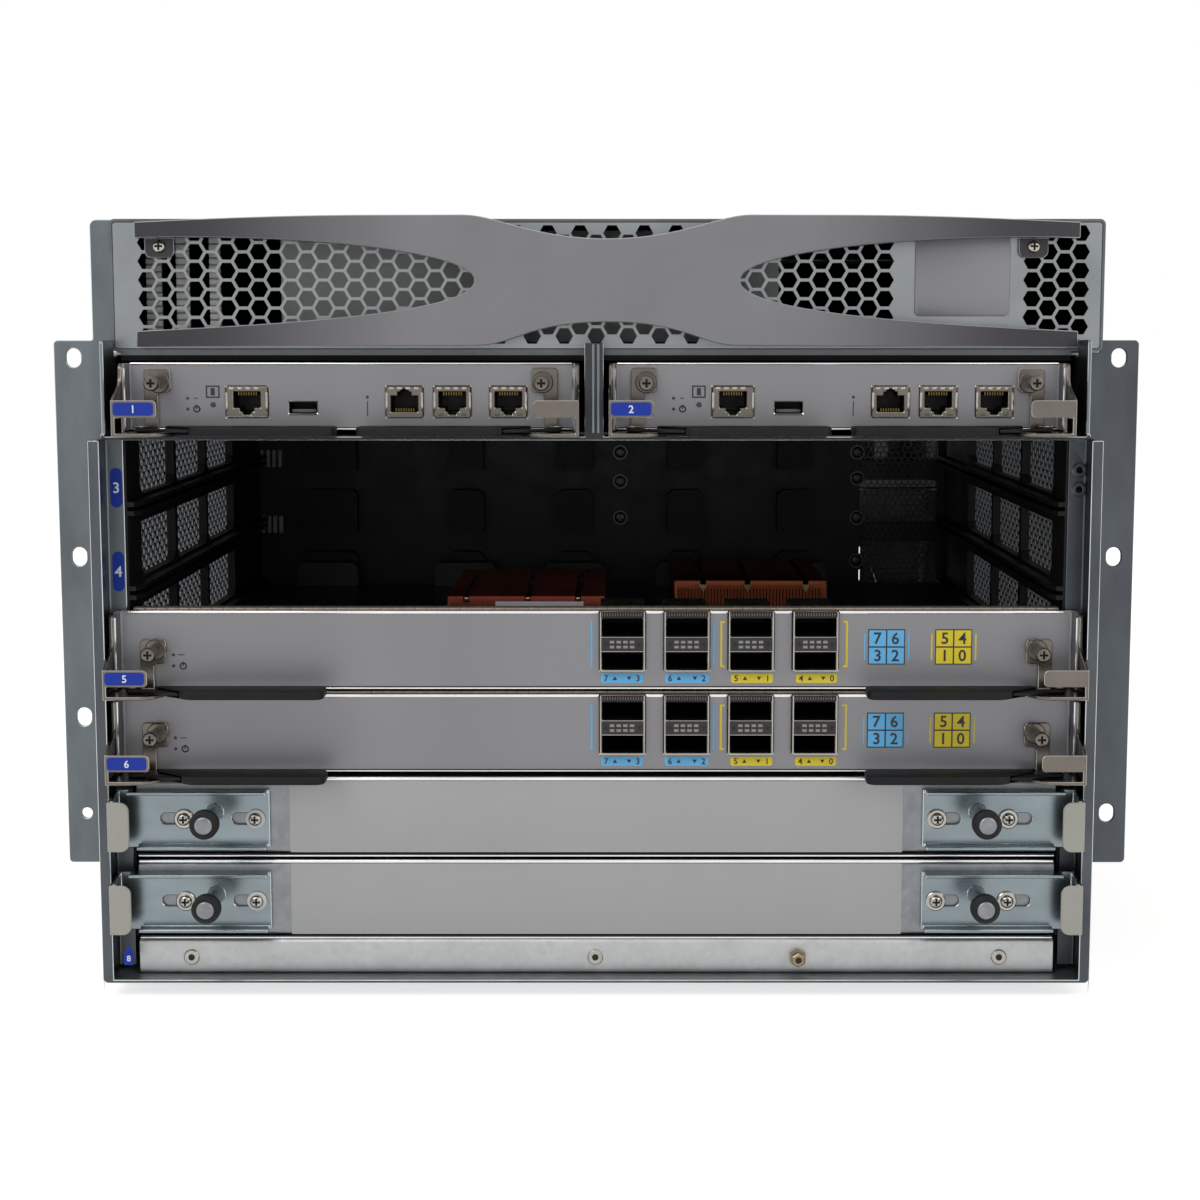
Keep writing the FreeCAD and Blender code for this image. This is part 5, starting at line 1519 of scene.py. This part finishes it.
            for x in (low - 2.1, high + 1.6):
                prints.label(ink, (x, z + 14.3), (x + 0.6, z + 26.1))
        for level in (16.7, 11.8):
            prints.made.append(self.kit.place("lamp", (-187.3, self.face, z + level)))
        prints.label(BLACK_INK, (-185.2, z + 16.5), (-182.4, z + 16.9))
        prints.ring(BLACK_INK, -183.1, z + 11.7, 1.35)
        prints.done(f"{self.name}_marks")

    def build(self) -> None:
        """Build the whole blade."""
        ends = BladeEnds(self.kit, self.name, 0.0, self.half, 18.7, self.zero + 19.2,
                         self.zero + 6.0, str(self.number))
        ends.build()
        gaps = [(self.cage_first + n * self.cage_pitch + 10.1,
                 self.cage_first + (n + 1) * self.cage_pitch - 10.1) for n in range(3)]
        RolledEdges(self.name, self.face, self.zero + 36.5, self.zero + 1.5,
                    ((-207.5, 1.4), *gaps, (107.3, 207.5)), (-188.0, 188.0), 1.5).build()
        self.cages()
        self.cage_fronts()
        self.gasket()
        self.heat_sinks()
        self.marks(ends)


@dataclass
class Filler:
    """A blanking panel with two sliding latches on pull knobs."""

    kit: Kit
    number: int
    zero: float
    face: float = -294.0
    knob_x: float = 169.3
    knob_z: float = 22.0
    screw_x: tuple[float, ...] = (151.3, 183.0)
    screw_z: float = 18.9
    washer_back: float = -296.1

    @property
    def name(self) -> str:
        """The panel's CAD body."""
        return f"filler_panel_{self.number}"

    def sheet(self) -> None:
        """Recast the panel and lay its plain middle field on it."""
        # Its eased edges wear the painted highlight.
        piece = Bench.recast(self.name, f"{self.name}_sheet", (FILLER_SIDE, FACE_EDGE_HIGHLIGHT), 0.5)
        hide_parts(self.name)
        fit(piece, self.name)
        field_piece = Bench.rounded(f"{self.name}_middle_field",
                                    (-136.4, self.face - 0.3, self.zero + 3.3),
                                    (136.4, self.face, self.zero + 35.7), Axis.Y, 0.6, 0.15)
        fit(wear(field_piece, SKIN_PASSED), self.name)

    def screws(self) -> None:
        """Fit the guide screws and their washers."""
        made = []
        for x in self.screw_x:
            for side in (-1, 1):
                spot = (side * x, self.washer_back, self.zero + self.screw_z)
                washer = self.kit.place("washer", spot)
                if side * x == -self.screw_x[0]:
                    wear(washer, WASHER_NYLON)
                made.append(washer)
                made.append(self.kit.place("pan_head", (spot[0], spot[1] - 0.8, spot[2])))
        piece = Bench.join(f"{self.name}_pan_screws", made)
        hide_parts(f"{self.name}_guide_screws")
        fit(piece, self.name)

    def latch(self, hand: Hand) -> None:
        """Recast a latch: zinc plate, cream tab, and a knob of a zinc pin in a black ring."""
        node = f"{self.name}_latch_{hand.name.lower()}"
        # Its eased edges wear a painted highlight.
        piece = Bench.recast(node, f"{node}_plate",
                             (LATCH_ZINC, ZINC_EDGE_HIGHLIGHT, CREAM_NYLON, RUBBER, FILLER_SIDE),
                             0.3, 1, False)

        def from_knob(spot: Vector) -> float:
            """Distance of a spot from the knob's axis."""
            return math.hypot(spot.x - hand.value * self.knob_x,
                              spot.z - self.zero - self.knob_z)

        Bench.tint(piece, 2, lambda spot: abs(spot.x) > 204.9 and spot.y < -305.9)
        Bench.tint(piece, 3, lambda spot: spot.y < -318.4 and from_knob(spot) < 6.7)
        Bench.tint(piece, 4, lambda spot: spot.y < -324.05 and from_knob(spot) < 3.95)
        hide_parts(node)
        fit(piece, node)

    def build(self) -> None:
        """Build the panel, its screws and its latches."""
        self.sheet()
        RolledEdges(self.name, self.face, self.zero + 37.4, self.zero + 1.5,
                    ((-204.0, 204.0),), (-204.0, 204.0), 1.6).build()
        self.screws()
        for hand in Hand:
            self.latch(hand)


# ------------------------------------------------------------------ the cage
@dataclass
class Cage:
    """The galvanised cage with its perforated sides, front strips, rails and brackets."""

    kit: Kit
    wall_x: float = 218.7
    wall: float = 1.2
    window_low: tuple[float, float] = (-256.0, 20.0)
    window_high: tuple[float, float] = (62.0, 236.0)
    hole: float = 4.7
    web: float = 1.4
    # The folded edges of the left bracket, the left rail and the sill wear a painted highlight.
    recasts: tuple[tuple[str, str, Finish, Finish, float], ...] = field(default_factory=lambda: (
        ("rack_bracket_left", "cage_zinc", ZINC_DARK, ZINC_EDGE_HIGHLIGHT, 0.35),
        ("rack_bracket_right", "cage_zinc", ZINC_SHADED, ZINC_DARK, 0.35),
        ("front_rail_left", "cage_zinc", ZINC_DARK, ZINC_EDGE_HIGHLIGHT, 0.25),
        ("front_rail_right", "cage_zinc", ZINC_SHADED, ZINC_DARK, 0.25),
        ("bottom_sill", "galvanised", SILL_SHEET, ZINC_EDGE_HIGHLIGHT, 0.35)))

    def tub(self) -> None:
        """Recast the cage with a window in each side wall."""
        # Its eased edges wear a painted highlight.
        piece = Bench.recast("chassis_tub", "cage_walls",
                             (GALVANISED, ZINC_EDGE_HIGHLIGHT, ZINC_SHADED), 0.3, 1, False)
        # The flat front faces wear zinc darkened by painted shade.
        Bench.tint(piece, 2, lambda spot: spot.y < -305.95)
        for hand in Hand:
            middle = hand.value * self.wall_x
            cutter = Bench.block("cutter", (middle - 4, self.window_low[0], self.window_low[1]),
                                 (middle + 4, self.window_high[0], self.window_high[1]), 0.0)
            Bench.cut(piece, cutter)
        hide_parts("chassis_tub")
        fit(piece, "chassis")

    def side_sheets(self) -> None:
        """Fill the windows with perforated sheet, darkened by painted shade."""
        low_y, low_z = self.window_low
        high_y, high_z = self.window_high
        for hand in Hand:
            x = hand.value * (self.wall_x - self.wall / 2)
            sheet = Bench.honeycomb(f"side_sheet_{hand.name.lower()}", (low_z - 8, 0, low_y - 9),
                                    (high_z + 12, 0, high_y + 12), self.hole, self.web, 1.1)
            Bench.stand(sheet)
            sheet.location.x = x * MM
            Bench.settle(sheet)
            fit(wear(sheet, SIDE_SHEET_PAINTED_SHADE), "chassis")

    def strips(self) -> None:
        """Recast the brackets, the rails and the sill, their folded edges lighter as a painted
        highlight.
        """
        for node, slot, main, edge, ease in self.recasts:
            piece = Bench.recast(node, f"{node}_folded", (main, edge), ease)
            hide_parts(node)
            fit(piece, "chassis")

    def shelf(self) -> None:
        """Recast the shelf over the slots, whose divider is painted dark."""
        # Its eased edges wear a painted highlight.
        piece = Bench.recast("slot_shelf", "slot_shelf_folded", (ZINC, ZINC_EDGE_HIGHLIGHT, DIVIDER_DARK),
                             0.25)
        Bench.tint(piece, 2, lambda spot: spot.y < -300.0 and abs(spot.x + 0.65) < 3.9
                   and spot.z > 243)
        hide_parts("slot_shelf")
        fit(piece, "chassis")
        line = Bench.block("divider_line", (-1.5, -301.35, 243.5), (-0.5, -301.0, 281.6), 0.12)
        Bench.row(line, Axis.X, 2.2, 2)
        fit(wear(line, ZINC), "chassis")

    def inserts(self) -> None:
        """Fit the threaded inserts and the hexagonal post in the sill."""
        made = []
        for x in (-181.0, -0.5, 180.0, 90.0):
            lift = 6.05 if x == 90.0 else 0.62
            made.append(wear(Bench.turned("bore", (x, -296.0 - lift, 9.2),
                                          [(1.45, -0.02), (1.45, 0.0)], 20), RECESS_DARK))
            if x != 90.0:
                made.append(self.kit.place("insert_ring", (x, -296.0, 9.2)))
        post = Bench.turned("post", (90.0, -296.0, 9.2), [
            (1.6, -5.2), (1.6, -6.0), (2.7, -6.0), (3.2, -5.6), (3.2, -3.6), (3.9, -3.6),
            (3.9, 0.0)], 6)
        made.append(wear(post, BRASS))
        piece = Bench.join("sill_rings", made)
        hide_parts("sill_inserts")
        fit(piece, "chassis")

    def labels(self) -> None:
        """Put the slots' numbers on the left rail and strip."""
        prints = Prints("chassis", -286.0)
        for text, low, high in (("3", 209.9, 227.5), ("4", 172.7, 190.5)):
            prints.label(BLUE_LABEL, (-213.9, low), (-208.7, high), 2.55)
            prints.figures(WHITE_INK, text, -211.3, (low + high) / 2, 4.6)
        prints.label(BLUE_LABEL, (-209.0, 8.4), (-204.9, 13.8), 0.0, -306.0)
        prints.made.append(wear(Bench.prism("arrow", (-206.95, -306.12, 14.6), 2.6, 3, 0.12),
                                BLUE_LABEL))
        prints.figures(WHITE_INK, "8", -206.95, 11.4, 2.6, -306.0)
        prints.done("slot_numbers")

    def build(self) -> None:
        """Build the cage."""
        self.tub()
        self.side_sheets()
        self.strips()
        self.shelf()
        self.inserts()
        self.labels()


@dataclass
class Bay:
    """What shows in the two open slots: the midplane, its screws, lamps and air mesh."""

    kit: Kit
    face: float = 79.0
    screws: tuple[tuple[float, float], ...] = (
        (10.9, 213.6), (10.9, 196.0), (10.9, 174.1),
        (154.3, 213.6), (154.3, 198.0), (154.3, 174.1), (154.3, 147.9))
    lamp_groups: tuple[tuple[float, float], ...] = ((-206.5, 204.8), (-206.5, 165.0))

    def fastenings(self) -> None:
        """Fit the dome screws of the midplane, darkened by painted shade."""
        made = [wear(self.kit.place("dome_screw", (x, self.face, z)), STEEL_PAINTED_SHADE)
                for x, z in self.screws]
        fit(Bench.join("midplane_screws", made), "chassis")

    def light_guides(self) -> None:
        """Fit the groups of pale light guides at the left."""
        made = []
        for x, z in self.lamp_groups:
            bar = wear(Bench.block("light_guide", (x, self.face - 4.0, z),
                                   (x + 2.3, self.face, z + 10.2), 0.4), CREAM_NYLON)
            Bench.row(bar, Axis.X, 3.6, 4)
            made.append(bar)
        fit(Bench.join("light_guides", made), "chassis")

    def mesh(self) -> None:
        """Hang the air mesh at the right, darkened by painted shade."""
        sheet = Bench.honeycomb("air_mesh", (157.0, self.face - 2.0, 18.0),
                                (204.0, self.face - 2.0, 240.0), 2.9, 0.8, 0.8)
        fit(wear(sheet, NICKEL_PAINTED_SHADE), "chassis")

    def build(self) -> None:
        """Build the bay's fittings."""
        self.fastenings()
        self.light_guides()
        self.mesh()


@dataclass
class Hood:
    """The hood over the blades: bowed bezel, its screws, and what shows behind the grille."""

    kit: Kit
    panel_low: Point = (140.3, -276.45, 293.7)
    panel_high: Point = (181.7, -276.0, 330.6)
    lugs: tuple[tuple[float, float], ...] = ((-191.3, 324.0), (191.8, 324.0))

    def bezel(self) -> None:
        """Recast the bowed bezel, whose ends fall away from the light and wear a painted shade."""
        piece = Bench.recast("front_bezel", "bowed_bezel", (SILVER_PAINT_WING_SHADE, BEZEL_EDGE),
                             0.35, 1, False)
        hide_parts("front_bezel")
        fit(piece, "chassis")

    def cover(self) -> None:
        """Recast the hood's sheet, whose skirt over the blades lies in shade."""
        shaded = ZonedFinish("hood_zinc_over_blades", HOOD_ZINC, SHADOW_ZINC,
                             Zone((-215.0, -280.0, 270.0), (225.0, -255.0, 276.6)))
        piece = Bench.recast("top_cover", "hood_sheet", (shaded, shaded), 0.3)
        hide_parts("top_cover")
        fit(piece, "chassis")

    def screws(self) -> None:
        """Fit the two pan-head screws in the bezel's lugs."""
        made = [self.kit.place("pan_head", (x, -278.2, z)) for x, z in self.lugs]
        piece = Bench.join("bezel_pan_screws", made)
        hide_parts("bezel_screws")
        fit(piece, "chassis")

    def panel(self) -> None:
        """Lay the plain service panel on the grille."""
        plate = Bench.rounded("service_panel", self.panel_low, self.panel_high, Axis.Y, 2.2, 0.2)
        fit(wear(plate, PANEL_SHEET), "chassis")

    def behind(self) -> None:
        """Fit the black sheet of painted shade at the back, the plate before it and the ribbed
        strips behind the grille.
        """
        baffle = Bench.block("rear_painted_shade_sheet", (-205.0, 285.0, 282.0), (215.0, 287.0, 332.0), 0.0)
        fit(wear(baffle, PAINTED_SHADE_SHEET), "chassis")
        plate = Bench.block("inner_plate", (-146.0, -226.0, 282.0), (84.0, -225.0, 333.0), 0.0)
        fit(wear(plate, INNER_PLATE), "chassis")
        made = []
        for low, high in ((-203.0, -196.0), (-189.5, -183.5), (-174.5, -169.5)):
            rib = wear(Bench.block("rib", (low, -252.0, 283.0), (high, -250.6, 285.4), 0.35),
                       RIB_WHITE)
            Bench.row(rib, Axis.Z, 3.1, 15)
            made.append(rib)
            bed = Bench.block("rib_bed", (low, -250.8, 282.5), (high, -250.0, 331.0), 0.0)
            made.append(wear(bed, CREAM_NYLON))
        fit(Bench.join("ribbed_strips", made), "chassis")

    def build(self) -> None:
        """Build the hood's fittings."""
        self.cover()
        self.bezel()
        self.screws()
        self.panel()
        self.behind()


# ------------------------------------------------------------------ the plain pieces' finishes
@dataclass
class Dressing:
    """Which finish each CAD node wears where it keeps its own shape."""

    plain: dict[str, Finish] = field(default_factory=lambda: {
        "chassis_tub": GALVANISED,
        "top_cover": ZINC,
        "vent_grille": GRILLE_ZINC,
        "front_bezel": SILVER_PAINT_WING_SHADE,
        "bezel_screws": BRIGHT_NICKEL_AND_HIGHLIGHT,
        "rack_bracket_left": ZINC_DARK,
        "rack_bracket_right": ZINC_DARK,
        "slot_shelf": ZINC,
        "front_rail_left": ZINC_DARK,
        "front_rail_right": ZINC_DARK,
        "bottom_sill": GALVANISED,
        "sill_inserts": BRIGHT_NICKEL_AND_HIGHLIGHT,
        "card_guide_left": BLACK_POLYCARBONATE,
        "card_guide_right": BLACK_POLYCARBONATE,
        "midplane": NAVY_MASK,
        "midplane_connectors": SOCKET_BROWN,
        "power_supply_left": TINNED,
        "power_supply_right": TINNED,
        "fan_tray_left": TINNED,
        "fan_tray_right": TINNED,
        "fan_rotor_left": BLACK_NYLON,
        "fan_rotor_right": BLACK_NYLON,
    })
    repeated: dict[str, Finish] = field(default_factory=lambda: {
        "_faceplate": FACE_SHEET,
        "_board": SOLDER_MASK,
        "_jacks": NICKEL,
        "_cages": NICKEL,
        "_heatsinks": COPPER,
        "_brackets": NICKEL,
        "_screws": BRIGHT_NICKEL_AND_HIGHLIGHT,
        "_lever_left": NICKEL,
        "_lever_right": NICKEL,
        "_latch_left": ZINC_DARK,
        "_latch_right": ZINC_DARK,
    })

    def dress(self, nodes: list[str]) -> None:
        """Give every CAD node its finish.

        Args:
            nodes: Names of the CAD nodes.
        """
        for node in nodes:
            finish = self.plain.get(node)
            if not finish and node.startswith("filler_panel") and node[-1].isdigit():
                finish = SKIN_PASSED
            if not finish:
                ending = next(key for key in self.repeated if node.endswith(key))
                finish = self.repeated[ending]
            wear(bpy.data.objects[node], finish)
            LOG.info("%s wears %s", node, finish.name)


# ------------------------------------------------------------------ studio
@dataclass
class Studio:
    """Pale floor, white surroundings, soft lamps and the camera, in metres."""

    camera_place: Point = (0.0101, -1.257, 0.2893)
    camera_tilt: float = 7.07
    lens: float = 66.24
    shift: float = -0.0158
    floor_size: float = 12.0
    surround: float = 0.55
    floor_gap: float = 0.0005
    floor_colour: str = "#dededc"
    floor_glow: float = 0.62
    aim: Point = (0, 0, 0.17)
    view_end: float = 50.0
    lamps: tuple[tuple[Point, float, float], ...] = (
        ((-1.3, -1.7, 1.9), 1.3, 22.0),
        ((1.5, -1.6, 1.2), 1.3, 9.0),
        ((0.0, 1.8, 1.8), 1.4, 12.0))

    @staticmethod
    def seen(tree: bpy.types.NodeTree) -> Socket:
        """Mask that is 1 where the camera, a reflection or a clear body looks on."""
        path = add_node(tree, "ShaderNodeLightPath")
        seen = path.outputs["Is Camera Ray"]
        for name in ("Is Glossy Ray", "Is Transmission Ray"):
            seen = reckon(tree, "MAXIMUM", seen, path.outputs[name])
        return seen

    def floor(self) -> None:
        """Lay the pale floor, which keeps the object's shadow."""
        Bench.clear()
        low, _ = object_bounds()
        bpy.ops.mesh.primitive_plane_add(size=self.floor_size,
                                         location=(0, 0, low[2] - self.floor_gap))
        plane = Bench.take("floor")
        material = bpy.data.materials.new("pale_floor")
        material.use_nodes = True
        tree = material.node_tree
        tree.nodes.remove(tree.nodes["Principled BSDF"])
        strength = reckon(tree, "MULTIPLY", self.seen(tree), self.floor_glow)
        matt = add_node(tree, "ShaderNodeBsdfDiffuse", None, {"Color": linear(self.floor_colour)})
        glow = add_node(tree, "ShaderNodeEmission", None, {"Strength": strength})
        both = add_node(tree, "ShaderNodeAddShader", None, {0: matt.outputs[0], 1: glow.outputs[0]})
        tree.links.new(both.outputs[0], tree.nodes["Material Output"].inputs["Surface"])
        plane.data.materials.append(material)
        plane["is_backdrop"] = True

    def surroundings(self) -> None:
        """Make the world white to the camera and in reflections, and softer as light."""
        world = bpy.data.worlds.new("white_room")
        bpy.context.scene.world = world
        world.use_nodes = True
        tree = world.node_tree
        strength = mix(tree, self.seen(tree), self.surround, 1.0)
        back = tree.nodes["Background"]
        back.inputs["Color"].default_value = linear("#ffffff")
        tree.links.new(strength, back.inputs["Strength"])

    def light(self) -> None:
        """Hang the soft lamps."""
        for number, (place, size, power) in enumerate(self.lamps, 1):
            Bench.clear()
            bpy.ops.object.light_add(type="AREA", location=place)
            lamp = bpy.context.object
            lamp.name = f"soft_lamp_{number}"
            lamp.data.size = size
            lamp.data.energy = power
            aim = Vector(self.aim) - Vector(place)
            lamp.rotation_euler = aim.to_track_quat("-Z", "Y").to_euler()

    def camera(self) -> None:
        """Set up the camera in front of the cage."""
        Bench.clear()
        bpy.ops.object.camera_add(location=self.camera_place,
                                  rotation=(math.radians(90 - self.camera_tilt), 0, 0))
        camera = bpy.context.object
        camera.data.lens = self.lens
        camera.data.shift_x = self.shift
        camera.data.clip_end = self.view_end
        bpy.context.scene.camera = camera

    def build(self) -> None:
        """Set up the whole studio."""
        self.floor()
        self.surroundings()
        self.light()
        self.camera()
        bpy.context.scene.view_settings.view_transform = "Standard"


def main() -> None:
    """Build every sub-assembly around the CAD frame."""
    logging.basicConfig(level=logging.INFO, format="%(message)s")
    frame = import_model()
    Dressing().dress(list(frame["nodes"]))
    kit = Kit()
    kit.stock()
    Cage(kit).build()
    Bay(kit).build()
    Hood(kit).build()
    ControlBlade(kit, 1, -106.8).build()
    ControlBlade(kit, 2, 105.5).build()
    CoreBlade(kit, 5, 128.1).build()
    CoreBlade(kit, 6, 90.7).build()
    Filler(kit, 7, 53.3).build()
    Filler(kit, 8, 15.9).build()
    kit.put_away()
    Studio().build()
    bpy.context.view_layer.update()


if __name__ == "__main__":
    main()
